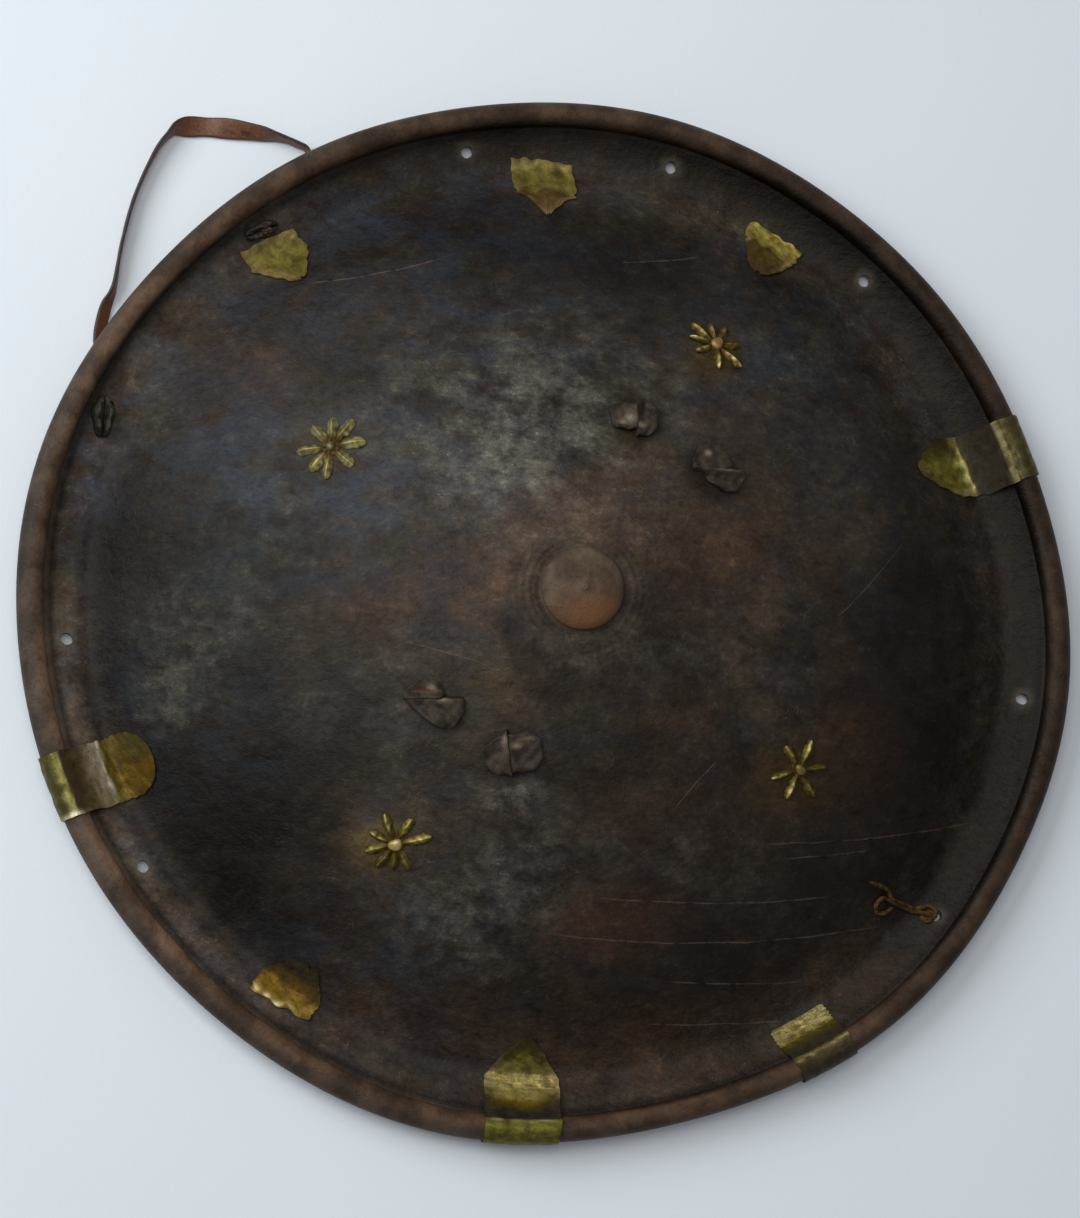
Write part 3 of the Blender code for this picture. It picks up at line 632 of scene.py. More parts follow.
def hole_place(index, outwards=0.0):
    """Ground place of a lacing hole."""
    turn = math.radians(FIRST_HOLE + index * 360 / HOLES + HOLE_SHIFTS.get(index, 0.0))
    return warped(np.array(HOLE_CIRCLE + outwards), np.array(turn), 0.0)[:2]


def old_leather(name, dark, light, rubbed):
    """Stiff old leather: dirt and painted shade in its creases, painted highlights on its humps,
    and marks kept at the points.
    """
    skin = Finish(name)
    cloud = skin.noise(130.0, 5.0, 0.62)
    grain = skin.noise(700.0, 4.0, 0.62)
    tone = skin.mix(skin.step(cloud, 0.34, 0.66), dark, light)
    tone = skin.mix(skin.step(grain, 0.54, 0.80), tone, rubbed)
    # painted highlights kept at the points
    lit = skin.product(skin.field("lit"), skin.span(grain, 0.45, 1.2))
    tone = skin.mix(lit, tone, (0.30, 0.23, 0.17))
    # dirt and painted shade kept at the points
    tone = skin.mix(skin.field("grime_and_shade"), tone, (0.010, 0.007, 0.006))
    tone = skin.mix(skin.field("red"), tone, (0.065, 0.016, 0.009))
    relief = skin.bump(grain, 0.0004, skin.bump(cloud, 0.0007))
    return skin.done(tone, skin.span(cloud, 0.45, 0.70), relief, specular=0.25)


# dark, light and rubbed
KNOT_COLOURS = (
    ((0.014, 0.009, 0.007), (0.042, 0.027, 0.020), (0.070, 0.048, 0.036)),
    ((0.013, 0.012, 0.008), (0.038, 0.034, 0.024), (0.090, 0.084, 0.066)),
)
KNOT_GRID = 51, 37
KNOT_LEATHERS = [old_leather(f"knot_leather_{n}", *c) for n, c in enumerate(KNOT_COLOURS, 1)]


def strap_knot(number, knot):
    """A folded lump: two rolls side by side with a slit between them, sagging at the ends."""
    index, bearing, half_length, half_width, height, shift, outwards = knot
    s, t = lattice(-1, *KNOT_GRID)
    half = half_width * (1 - 0.62 * np.abs(s) ** 2.6) * (1 + 0.12 * np.sin(5 * s + index))
    hole = hole_place(index, outwards)
    x, y = laid(*hole, math.radians(bearing), shift + half_length * s, half * t)
    rolls = np.sqrt(np.clip(1 - np.abs(2 * np.abs(t) - 1) ** 2.4, 0, 1))
    groove = t + 0.25 * np.sin(2.2 * s + index)
    slit = 1 - 0.55 * np.exp(-((groove / 0.15) ** 2)) * smooth((0.75 - np.abs(s)) / 0.4)
    swell = height * (0.25 + 0.75 * rolls * slit) * np.sqrt(np.clip(1 - 0.93 * s**4, 0, 1))
    crumple = 1.1 + 0.15 * uneven(x, y, 0.007, 21 + index) + 0.07 * uneven(x, y, 0.003, 31)
    upper = on_face(x, y, 0.0006 + swell * crumple)
    lower = on_face(x, y, 0.0003 + 0.0006 * np.abs(t) ** 3)
    finish = KNOT_LEATHERS[number - 1]
    made = piece(f"strap_knot_{number}", slab(upper, lower), finish)
    # painted shade in the slit and along the edges and ends, with dirt
    grime_and_shade = np.clip(0.9 * (1 - slit) / 0.55 + 0.6 * t**8 + 0.5 * s**10, 0, 1)
    keep_field(made.data, "grime_and_shade", round_slab(grime_and_shade).ravel())
    keep_field(made.data, "lit", np.zeros(len(made.data.vertices)))
    return made


# %% [markdown]
# ## The hide
# One closed surface of revolution on the uneven plan: the section runs from the middle of the
# button over dome, gutter, flange and bead to the back, and home again. The lacing holes and the
# slits for the grips are cut through it as an awl and a knife would, with a Boolean. After the
# cut, soft patches of wear and of painted light and shade are stored at the points, in the
# directions that the shield hung in.

# %% Hide section
BUTTON = ((0.0018, 0.0103), (0.0040, 0.0090), (0.0130, 0.0085), (0.0195, 0.0070))
BUTTON += ((0.0229, 0.0044), (0.0235, 0.0026), (0.0225, 0.0004), (0.0245, -0.0006), (0.0290, 0))
NIPPLE_H = 0.0108
SLIT_W, SLIT_L = 0.0050, 0.0200
GRIP_X, GRIP_Y = (-0.0314, 0.0214), (-0.0978, 0.1040)
OPEN_HOLES = (0, 1, 3, 4, 5, 6, 7, 8, 9)
# radii from, to and how many, for the face outwards and for the back inwards
FACE_RUNS = ((0.0305, 0.06, 12), (0.063, 0.25, 52), (0.252, 0.28, 22), (0.2815, 0.2935, 8))
BACK_RUNS = ((0.2925, 0.276, 7), (0.275, 0.27, 4), (0.268, 0.25, 8), (0.243, 0.01, 30))
TURNS, AWL_SIDES = 400, 28  # columns round the hide and round a lacing hole
AWL_Z, KNIFE_Z = (-0.004, 0.022), (0.060, 0.110)  # heights that the two blades reach


def hide_section():
    """Radii and heights once round the section, close together where it curves most."""
    button = flowing(BUTTON, 3)
    button[:, 1] += face_z(BUTTON[-1][0])
    out, home = (
        np.concatenate([np.linspace(*run) for run in runs]) for runs in (FACE_RUNS, BACK_RUNS)
    )
    face = np.stack([out, face_z(out)], -1)
    bead = np.stack(over_bead(0.0, BEAD_ROWS), -1)
    back = np.stack([home, back_z(home)], -1)
    return np.concatenate([button, face, bead, back])


def hide_shell():
    """The section carried round the axis, with its two poles closed by fans."""
    section = hide_section()
    rings = warped(section[:, :1], circle(TURNS)[None], section[:, 1:])
    rows = len(section)
    tip = (0, 0, face_z(BUTTON[-1][0]) + NIPPLE_H)
    poles = np.array([tip, (0, 0, back_z(0.0))])
    points = np.concatenate([rings.reshape(-1, 3), poles])
    here = np.arange(TURNS)
    after = np.roll(here, -1)
    top, last = rows * TURNS, (rows - 1) * TURNS
    fan = np.stack([np.full(TURNS, top), after, here], -1)
    end = np.stack([np.full(TURNS, top + 1), last + here, last + after], -1)
    return points, [quads(rows, TURNS, loop_columns=True)[:, ::-1], fan[:, ::-1], end[:, ::-1]]


# %% Cut the holes and slits


def prism(plan, low, high):
    """A closed upright prism over a ring of ground places."""
    return tube(np.stack([np.column_stack([plan, np.full(len(plan), z)]) for z in (low, high)]))


def awl_holes():
    """Slightly oval prisms at the open lacing holes."""
    turn, shells = circle(AWL_SIDES), []
    for index in OPEN_HOLES:
        ragged = HOLE_R * (1 + 0.05 * np.sin(2 * turn + index) + 0.02 * np.sin(5 * turn))
        ring = np.stack([np.cos(turn), np.sin(turn)], -1) * ragged[:, None]
        shells.append(prism(hole_place(index) + ring, *AWL_Z))
    return shells


def knife_slits():
    """Upright blades where the ends of the grips come out."""
    blade = np.array(SQUARE) * (SLIT_L / 2, SLIT_W / 2)
    return [prism(blade + (x, y), *KNIFE_Z) for x in GRIP_X for y in GRIP_Y]


def cut(target, shells):
    """Subtracts the shells from a piece and keeps the result as its mesh."""
    tool = linked("cutter", mesh_of("cutter", shells))
    step = target.modifiers.new("cut", "BOOLEAN")
    step.operation, step.solver, step.object = "DIFFERENCE", "EXACT", tool
    graph = bpy.context.evaluated_depsgraph_get()
    mesh = bpy.data.meshes.new_from_object(target.evaluated_get(graph))
    target.modifiers.clear()
    target.data = mesh
    bpy.data.objects.remove(tool)
    shade(mesh)


# %% [markdown]
# ## Wear, light and shade of the hide
# The face is blackened and rubbed: grey-green dust sits in the grain over the middle and the left,
# the blacking has gone red-brown round the button, and the left is bluish, partly with a painted
# sheen. Patches of painted light and shade lie over all of it. Each patch is a soft oval:
# exp(-(u/a)^2 - (v/b)^2), where u runs to the right and v up as it hung.

# %% Patches of wear, light and shade
# place to the right and up as the shield hung, half width, half height, strength
DUST = (
    (-0.045, 0.092, 0.06, 0.04, 1), (0.01, 0.112, 0.045, 0.028, 0.6),
    (-0.02, 0.155, 0.05, 0.03, 0.3), (-0.216, -0.002, 0.032, 0.045, 0.9),
    (-0.226, -0.053, 0.024, 0.026, 1.1), (-0.172, 0.027, 0.028, 0.036, 0.7),
    (-0.12, -0.06, 0.07, 0.03, 0.35), (-0.035, -0.118, 0.014, 0.01, 2),
    (-0.04, -0.167, 0.035, 0.018, 0.9), (-0.061, -0.189, 0.032, 0.022, 0.7),
    (0.01, -0.142, 0.07, 0.012, 0.7), (0.033, -0.034, 0.05, 0.016, 0.5),
    (0.135, 0.152, 0.022, 0.016, 0.7), (0.09, -0.155, 0.025, 0.018, 0.4),
    (-0.24, 0.11, 0.02, 0.045, 0.4),
)
BROWN = (
    (-0.063, 0.001, 0.03, 0.02, 0.8), (-0.112, -0.007, 0.048, 0.02, 0.7),
    (0.1, 0.016, 0.036, 0.032, 0.8), (0.165, -0.077, 0.055, 0.05, 1),
    (0.045, -0.128, 0.055, 0.022, 0.6), (0.029, -0.183, 0.045, 0.02, 0.8),
    (-0.191, 0.129, 0.034, 0.028, 0.5), (-0.238, 0.023, 0.026, 0.05, 0.5),
    (-0.18, -0.127, 0.04, 0.035, 0.6), (-0.012, 0.051, 0.036, 0.03, 0.45),
    (0.033, 0.018, 0.06, 0.06, 0.35), (-0.075, -0.233, 0.09, 0.018, 0.5),
    (0.06, -0.06, 0.05, 0.03, 0.5), (-0.045, -0.045, 0.035, 0.03, 0.6),
    (0.045, -0.255, 0.06, 0.025, 0.8), (0.15, -0.21, 0.06, 0.03, 0.4),
)
WAXED = (
    (-0.149, 0.091, 0.016, 0.016, 0.5), (0.084, 0.149, 0.016, 0.015, 1.3),
    (-0.1125, -0.145, 0.017, 0.016, 0.8), (0.127, -0.1015, 0.02, 0.018, 1.4),
    (-0.046, -0.051, 0.018, 0.013, 0.5), (0.031, 0.107, 0.02, 0.016, 0.6),
)
RUDDY = ((0.006, -0.016, 0.022, 0.011, 1),)  # the bare leather of the button
CRIMSON = ((0.029, -0.183, 0.034, 0.014, 0.9), (0.000, -0.194, 0.018, 0.008, 1.2))
# a bluish tone on the left, partly a painted sheen: the same columns
COLD_SHEEN = (
    (-0.222, 0.088, 0.06, 0.075, 1), (-0.14, 0.052, 0.07, 0.06, 0.8),
    (-0.06, 0.17, 0.11, 0.045, 0.7), (-0.203, -0.082, 0.045, 0.04, 0.7),
    (-0.11, -0.2, 0.06, 0.04, 0.5), (0.13, 0.15, 0.05, 0.05, 0.5), (-0.09, 0.24, 0.07, 0.035, 0.9),
    (-0.24, -0.06, 0.03, 0.06, 0.6),
)
# painted light and shade, partly on real patches of wear: the same, for how much lighter (or
# darker, below 0) the skin is, in steps of two times
SHADES = (
    (0.23, -0.09, 0.13, 0.13, -1.53), (-0.01, 0.21, 0.13, 0.045, -1.28),
    (-0.17, -0.05, 0.045, 0.08, -0.91), (0.03, -0.13, 0.045, 0.08, -0.65),
    (-0.01, 0.05, 0.08, 0.045, 0.95), (-0.23, 0.03, 0.08, 0.025, -1.09),
    (0.11, -0.03, 0.025, 0.08, 0.59), (-0.19, -0.13, 0.045, 0.045, -1.22),
    (0.15, 0.15, 0.13, 0.045, -0.18), (0.05, -0.03, 0.025, 0.045, -0.8),
    (0.09, -0.19, 0.045, 0.045, -0.71), (-0.03, -0.15, 0.025, 0.025, -0.85),
    (-0.11, -0.13, 0.025, 0.025, 1.2), (-0.13, -0.09, 0.025, 0.025, -0.9),
    (-0.13, 0.13, 0.025, 0.025, -0.68), (0.17, 0.05, 0.025, 0.045, 0.61),
    (-0.01, 0.09, 0.025, 0.045, -0.61), (-0.17, -0.19, 0.025, 0.025, -0.71),
    (0.07, 0.03, 0.025, 0.025, -0.45), (0.15, 0.19, 0.025, 0.08, -0.54),
    (0.25, 0.09, 0.045, 0.045, -0.64), (0.13, -0.05, 0.025, 0.045, 0.54),
    (0.05, 0.19, 0.045, 0.025, -0.46),
)
# bearing as hung, radius, half angle, half width and steps, for painted light and shade that
# follow the rim
RIM_SHADES = (
    (240, 0.22, 90, 0.03, -0.66), (50, 0.29, 50, 0.009, -2.55), (180, 0.25, 50, 0.016, -0.97),
    (190, 0.29, 50, 0.009, 1.47), (20, 0.262, 90, 0.009, 1.19), (70, 0.25, 14, 0.016, 0.8),
    (180, 0.282, 50, 0.005, 0.8), (180, 0.262, 28, 0.009, -0.98), (30, 0.272, 28, 0.009, -0.7),
    (110, 0.262, 14, 0.03, -0.66), (0, 0.205, 14, 0.016, -0.6), (220, 0.282, 14, 0.016, 0.81),
    (130, 0.282, 14, 0.016, 0.78), (30, 0.25, 14, 0.009, 0.75), (170, 0.22, 28, 0.016, -0.48),
    (280, 0.235, 14, 0.016, -0.52), (340, 0.272, 28, 0.005, 0.49), (185, 0.302, 45, 0.01, 0.62),
    (270, 0.302, 45, 0.01, -0.2),
)
FLECKS = (  # place to the right, place up, radius
    (0.0877, 0.0863, 0.001), (0.0475, 0.1056, 0.0009), (0.0465, 0.1256, 0.0012),
    (-0.079, -0.0475, 0.001), (-0.1094, -0.0654, 0.0009), (-0.0949, -0.0795, 0.0008),
    (-0.2206, 0.0166, 0.001), (-0.2046, 0.0065, 0.0012), (-0.2016, -0.0297, 0.0009),
    (-0.1803, 0.0255, 0.001), (-0.2366, -0.0036, 0.001), (0.119, -0.2575, 0.0009),
)
PITS = (  # the same
    (-0.0127, 0.0518, 0.0016), (-0.0503, -0.0109, 0.0014), (0.04, 0.25, 0.0013),
    (0.1187, -0.258, 0.003),
)


FLANGE_END, BACK_END = 0.2945, 0.298  # radii up to which the flange and the back count
CREASE_R, BEAD_FROM, BUTTON_END = 0.2925, 0.2938, 0.0245
GRIP_SHADE_R = 0.0175  # painted shade round each grip knot


def as_hung(x, y):
    """Ground places as right and up, the way the shield hung."""
    c, s = math.cos(HUNG_UP), math.sin(HUNG_UP)
    return x * s - y * c, x * c + y * s


def patches(x, y, ovals):
    """The sum of soft ovals at ground places, for wear and for painted light and shade."""
    u, v = as_hung(x, y)
    total = np.zeros_like(x)
    for right, up, wide, high, strength in ovals:
        total += strength * np.exp(-(((u - right) / wide) ** 2) - ((v - up) / high) ** 2)
    return total


def rim_patches(x, y, arcs):
    """The sum of soft arcs of painted light and shade that follow the rim."""
    u, v = as_hung(x, y)
    radius, turn = np.hypot(u, v), np.degrees(np.arctan2(v, u))
    total = np.zeros_like(x)
    for bearing, ring, half_angle, half_width, strength in arcs:
        away = (turn - bearing + 180) % 360 - 180
        off = (radius - ring) / half_width
        total += strength * np.exp(-((away / half_angle) ** 2) - off**2)
    return total


def record_wear_and_light(mesh):
    """Stores the patches of wear and of painted light and shade, the bead, the button, the hole
    edges and the back at the points.
    """
    p = points_of(mesh)
    x, y, z = p.T
    away = np.hypot(x, y)
    r = away - rim_shift(np.arctan2(y, x)) * warp_share(away)
    shown = z > face_z(np.minimum(r, FLANGE_END)) - 0.5 * HIDE_T
    ovals_of = {"dust": DUST, "brown": BROWN, "crimson": CRIMSON, "cold_sheen": COLD_SHEEN, "waxed": WAXED}
    for name, ovals in ovals_of.items():
        keep_field(mesh, name, patches(x, y, ovals) * shown)
    # painted light and shade: patches, arcs along the rim, shade round the grip knots and in the
    # crease
    steps = patches(x, y, SHADES) + rim_patches(x, y, RIM_SHADES)
    # painted shade round each grip knot
    for knot_x in GRIP_X:
        for knot_y in GRIP_Y:
            near = np.hypot(x - knot_x, y - knot_y) / GRIP_SHADE_R
            steps -= 0.9 * np.exp(-(near**6))
    # painted shade along the crease inside the bead
    steps -= 1.3 * np.exp(-(((r - CREASE_R) / 0.0022) ** 2))
    keep_field(mesh, "shade", np.exp2(steps * shown))
    keep_field(mesh, "bead", smooth((r - BEAD_FROM) / 0.002))
    keep_field(mesh, "outer", smooth((r - BEAD_C[0] + 0.001) / 0.004))
    u, v = as_hung(x, y)
    left = (np.degrees(np.arctan2(v, u)) % 360 - 185) / 50
    keep_field(mesh, "warm", smooth((r - 0.270) / 0.012) * (1 - 0.85 * np.exp(-(left**2))) * shown)
    keep_field(mesh, "button", smooth((BUTTON_END - r) / 0.002) * shown)
    keep_field(mesh, "ruddy", patches(x, y, RUDDY) * shown)
    keep_field(mesh, "back", ~shown * (r < BACK_END))
    rims = [np.hypot(*(p[:, :2] - hole_place(i)).T) for i in OPEN_HOLES]
    keep_field(mesh, "awl", np.exp(-((np.min(rims, axis=0) / (1.7 * HOLE_R)) ** 4)))


# %% Scratches
# from right, up, to right, up, and how far the middle sags below the straight line
SCRATCHES = (
    (0.012, -0.1702, 0.16, -0.1664, 0.0042), (-0.016, -0.1902, 0.198, -0.1809, 0.0086),
    (0.11, -0.1386, 0.253, -0.1193, 0.0034), (0.125, -0.1464, 0.183, -0.1388, 0.0007),
    (0.06, -0.2165, 0.149, -0.2148, 0.0013), (0.05, -0.24, 0.14, -0.237, 0.0015),
    (0.0555, -0.1227, 0.0821, -0.0925, -0.001), (0.033, 0.205, 0.084, 0.213, 0.001),
    (0.154, -0.009, 0.203, 0.043, 0.002), (-0.15, 0.19, -0.07, 0.205, 0.003),
    (-0.1, -0.03, -0.05, -0.045, -0.001),
)
SCRATCH_W = 0.00065


def scratch_mask(hide, hung):
    """1 on any scratch: |v - line(u) - sag(u)| under the width, and u between its ends."""
    parts = hide.add("SeparateXYZ", {0: hung})
    u, v = parts.outputs["X"], parts.outputs["Y"]
    tremble = hide.sum("MULTIPLY_ADD", hide.noise(45.0, 3.0), 0.0022, -0.0011)
    v = hide.sum("ADD", v, tremble)
    marks = []
    for right, up, to_right, to_up, sag in SCRATCHES:
        length = to_right - right
        t = hide.sum("MULTIPLY_ADD", u, 1 / length, -right / length)
        bow = hide.product(hide.sum("SUBTRACT", t, 1.0), t)
        line = hide.sum("MULTIPLY_ADD", t, to_up - up, up)
        line = hide.sum("MULTIPLY_ADD", bow, 4 * sag, line)
        off = hide.sum("ABSOLUTE", hide.sum("SUBTRACT", v, line))
        mark = hide.step(off, SCRATCH_W, 0.3 * SCRATCH_W)
        marks.append(hide.product(mark, hide.step(bow, 0.0, -0.10)))
    return hide.highest(marks)


# %% Flecks and pits


def spots(hide, hung, places):
    """1 on any of some round spots, their edges softened."""
    marks = []
    for right, up, radius in places:
        away = hide.add("VectorMath", {0: hung, 1: (right, up, 0)}, operation="DISTANCE")
        marks.append(hide.step(away.outputs["Value"], 1.3 * radius, 0.5 * radius))
    return hide.highest(marks)


# %% Blackened hide


def blackened_hide():
    """Black-brown skin, clouded warm, cool and olive, with dust in the grain, red-brown rubs, a
    painted bluish sheen, painted light and shade, fine wandering wrinkles, scratches, flecks and
    pits."""
    hide = Finish("blackened_hide")
    hung = hide.mapped(hide.place, turn=math.pi / 2 - HUNG_UP)
    drawn = hide.mapped(hung, (1.0, 1.5, 1.0), 0.12)
    cloud = hide.noise(9.0, 6.0, 0.62)
    mottle = hide.noise(38.0, 6.0, 0.66)
    cool = hide.noise(26.0, 6.0, 0.64, drawn)
    olive = hide.noise(33.0, 6.0, 0.64, drawn)
    patchy = hide.noise(85.0, 7.0, 0.70, drawn)
    grain = hide.noise(260.0, 5.0, 0.72, drawn)
    fine = hide.noise(620.0, 3.0, 0.62)
    tone = hide.step(cloud, 0.30, 0.72)
    tone = hide.mix(tone, (0.0135, 0.0092, 0.0074), (0.0270, 0.0188, 0.0142))
    tone = hide.mix(hide.step(mottle, 0.42, 0.72), tone, (0.0350, 0.0245, 0.0180))
    blue = hide.product(hide.step(cool, 0.46, 0.60), 0.55)
    tone = hide.mix(blue, tone, (0.0170, 0.0180, 0.0215))
    green = hide.product(hide.step(olive, 0.50, 0.64), 0.55)
    tone = hide.mix(green, tone, (0.0280, 0.0255, 0.0165))

    # bluish tone on the left, partly a painted sheen
    cold_sheen = hide.product(hide.field("cold_sheen"), hide.step(cool, 0.36, 0.60), 0.70)
    tone = hide.mix(cold_sheen, tone, (0.034, 0.043, 0.064))
    brown = hide.product(hide.field("brown"), hide.step(cloud, 0.36, 0.62))
    tone = hide.mix(hide.sum("MINIMUM", brown, 0.75), tone, (0.055, 0.0290, 0.0180))
    rubbed = hide.product(brown, hide.step(mottle, 0.52, 0.70), 0.5)
    tone = hide.mix(rubbed, tone, (0.105, 0.056, 0.026))
    waxed = hide.product(hide.field("waxed"), hide.span(hide.step(olive, 0.36, 0.60), 0.45, 1))
    tone = hide.mix(hide.sum("MINIMUM", waxed, 0.8), tone, (0.052, 0.031, 0.0060))
    crimson = hide.product(hide.field("crimson"), hide.step(mottle, 0.46, 0.60), 0.7)
    tone = hide.mix(crimson, tone, (0.060, 0.019, 0.017))

    dust = hide.sum("MULTIPLY_ADD", hide.field("dust"), 0.85, 0.06)
    patched = hide.span(hide.step(patchy, 0.38, 0.62), 0.35, 1.0)
    film = hide.product(dust, hide.step(mottle, 0.34, 0.64), patched)
    tone = hide.mix(hide.sum("MINIMUM", film, 0.75), tone, (0.098, 0.098, 0.084))
    tone = hide.mix(hide.step(patchy, 0.48, 0.32), tone, (0.62, 0.60, 0.60), "MULTIPLY")
    tone = hide.mix(hide.step(patchy, 0.54, 0.68), tone, (1.55, 1.50, 1.42), "MULTIPLY")
    tone = hide.mix(hide.step(grain, 0.44, 0.60), tone, (1.35, 1.34, 1.32), "MULTIPLY")
    specks = hide.product(hide.step(fine, 0.64, 0.74), hide.step(film, 0.06, 0.40), 0.8)
    tone = hide.mix(specks, tone, (0.26, 0.26, 0.23))

    wander = hide.noise(34.0, 4.0, 0.60, drawn, 0.4)
    wrinkle = hide.step(hide.sum("ABSOLUTE", hide.sum("SUBTRACT", wander, 0.5)), 0.008, 0.001)
    wrinkle = hide.product(wrinkle, hide.step(patchy, 0.46, 0.60))
    tone = hide.mix(hide.product(wrinkle, 0.55), tone, (0.090, 0.084, 0.074))
    # painted light and shade kept at the points
    tone = hide.scaled(tone, hide.field("shade"))
    marks = scratch_mask(hide, hung)
    broken = hide.product(marks, hide.step(patchy, 0.36, 0.58), 0.65)
    tone = hide.mix(broken, tone, (0.105, 0.072, 0.058))
    holes = spots(hide, hung, PITS)
    tone = hide.mix(holes, tone, (0.006, 0.005, 0.004))
    tone = hide.mix(spots(hide, hung, FLECKS), tone, (0.30, 0.29, 0.25))

    clouded = hide.step(mottle, 0.36, 0.68)
    horn = hide.mix(clouded, (0.034, 0.0215, 0.0148), (0.092, 0.058, 0.040))
    dull = hide.mix(clouded, (0.028, 0.0200, 0.0160), (0.066, 0.048, 0.038))
    horn = hide.mix(hide.field("outer"), horn, dull)
    # the bead takes the same painted light and shade
    horn = hide.scaled(horn, hide.field("shade"))
    tone = hide.mix(hide.field("bead"), tone, horn)
    rub = hide.mix(hide.step(mottle, 0.35, 0.68), (0.056, 0.036, 0.024), (0.120, 0.085, 0.060))
    rub = hide.mix(hide.field("ruddy"), rub, (0.130, 0.058, 0.025))
    tone = hide.mix(hide.field("button"), tone, rub)
    raw = hide.mix(cloud, (0.060, 0.040, 0.026), (0.120, 0.085, 0.056))
    tone = hide.mix(hide.field("back"), tone, raw)
    tone = hide.mix(hide.product(hide.field("awl"), 0.35), tone, (0.12, 0.115, 0.10))

    flat = hide.mapped(hide.place, (1, 1, 0))
    radius = hide.add("VectorMath", {0: flat}, operation="LENGTH").outputs["Value"]
    ripple = hide.sum("SINE", hide.product(radius, 1500.0))
    ring = (hide.step(radius, 0.044, 0.030), hide.step(radius, 0.0255, 0.0275))
    relief = hide.bump(hide.product(ripple, *ring), 0.00012)
    relief = hide.bump(mottle, 0.0018, relief)
    relief = hide.bump(patchy, 0.0010, relief)
    relief = hide.bump(grain, 0.0003, relief)
    relief = hide.bump(hide.sum("MAXIMUM", wrinkle, marks), 0.0002, relief)
    relief = hide.bump(hide.product(holes, -1.0), 0.0010, relief)
    shine = hide.sum("ADD", hide.span(mottle, 0.36, 0.56), hide.product(film, 0.22))
    tone = hide.mix(hide.field("warm"), tone, (1.10, 1.00, 0.90), "MULTIPLY")
    return hide.done(tone, shine, relief, specular=0.13)


hide_body = piece("hide_skin", hide_shell(), blackened_hide(), "hide_body")
cut(hide_body, awl_holes())
cut(hide_body, knife_slits())
record_wear_and_light(hide_body.data)
print("hide after cutting:", len(hide_body.data.polygons), "faces")

# %% [markdown]
# ## Brass
# Sheet brass, beaten thin and bent over by hand. It has gone olive brown, with yellow metal where
# it is rubbed, painted highlights on its ridges and bends, and dirt and painted shade in every
# fold.
# Under a thumb it is full of small dents.

# %% Brass finish


def old_brass(name, roughness, metal):
    """Tarnished brass: the colour kept at the points, with its painted light and shade, clouded
    and pitted, and shiny where pale.
    """
    brass = Finish(name)
    tone = brass.add("Attribute", attribute_name="tone").outputs["Color"]
    cloud = brass.noise(140.0, 5.0, 0.62)
    spots = brass.noise(620.0, 4.0, 0.66)
    tone = brass.mix(brass.step(cloud, 0.54, 0.34), tone, (0.66, 0.60, 0.52), "MULTIPLY")
    tone = brass.mix(brass.step(spots, 0.54, 0.72), tone, (1.40, 1.36, 1.30), "MULTIPLY")
    tone = brass.mix(brass.step(spots, 0.44, 0.30), tone, (0.60, 0.54, 0.50), "MULTIPLY")
    relief = brass.bump(spots, 0.00018, brass.bump(cloud, 0.0005))
    clean = brass.step(brass.add("RGBToBW", {0: tone}).outputs[0], 0.012, 0.060)
    shine = brass.span(spots, roughness - 0.06, roughness + 0.10)
    shine = brass.sum("ADD", shine, brass.span(clean, 0.20, 0.0))
    return brass.done(tone, shine, relief, brass.span(clean, 0.1, metal), 0.2)


BRASS = old_brass("old_brass", 0.36, 0.55)
PLATE_BRASS = old_brass("plate_brass", 0.48, 0.35)
STAR_BRASS = old_brass("star_brass", 0.40, 0.45)

# %% Colour along a sheet


def banded(s, stops):
    """A colour for each place s, blended between stops of (place, red, green, blue)."""
    stops = np.array(stops)
    return np.stack([np.interp(s, stops[:, 0], stops[:, k]) for k in (1, 2, 3)], -1)


def dabbed(tone, s, t, dabs):
    """Adds dabs of colour: place along and across, reach along and across, strength, colour."""
    for at, aside, long, wide, strength, *colour in dabs:
        share = strength * np.exp(-(((s - at) / long) ** 2) - ((t - aside) / wide) ** 2)
        tone = tone + np.clip(share, 0, 1)[..., None] * (np.array(colour) - tone)
    return tone


def keep_tone(mesh, tone):
    """Stores a colour for each point of a mesh, for the finish to read."""
    layer = mesh.attributes.new("tone", "FLOAT_COLOR", "POINT")
    rgba = np.concatenate([tone.reshape(-1, 3), np.ones((tone.size // 3, 1))], 1)
    layer.data.foreach_set("color", np.clip(rgba, 0, 1).astype(np.float32).ravel())


# %% [markdown]
# ## Rim clips
# Each clip is one strip: a lobe on the dome, a bend down through the gutter and up the flange, a
# straight span over the crease, a tight wrap over the bead and a short leaf behind. The strip is
# a grid: one number runs along the section of the hide at a small distance off, the other across
# the width. Its colour is tarnish with painted light on it: the folds and the crest of the bead
# are rubbed bright and carry painted highlights, and the hollows are nearly black with painted
# shade and painted dark reflections. The colour follows landmarks on the strip, numbered from 0:
# tip, gutter, the place where it leaves the flange, bead, crest, side and end.

# %% Clips
SHEET_GAP, SHEET_T, SHEET_COLUMNS = 0.0005, 0.0009, 31
CLIP_BACK_R = 0.288
# bearing, radius of the inner tip, width, share of the width at the tip, share of the face that
# the shoulder takes, roundness of the shoulder, radius where the sheet leaves the flange for the
# bead, and how far the tip leans towards higher bearings
CLIPS = (
    (56, 0.2375, 0.039, 0.1, 0.58, 0.35, 0.28, 0.007),
    (236, 0.2505, 0.038, 0.06, 0.52, 1, 0.28, 0), (301.2, 0.25, 0.044, 0.05, 0.8, 0.3, 0.28, 0),
    (336.5, 0.276, 0.036, 0.85, 0.2, 1, 0.287, 0),
)
FACE_ROWS, SPAN_ROWS, LEAF_ROWS = 44, 8, 6
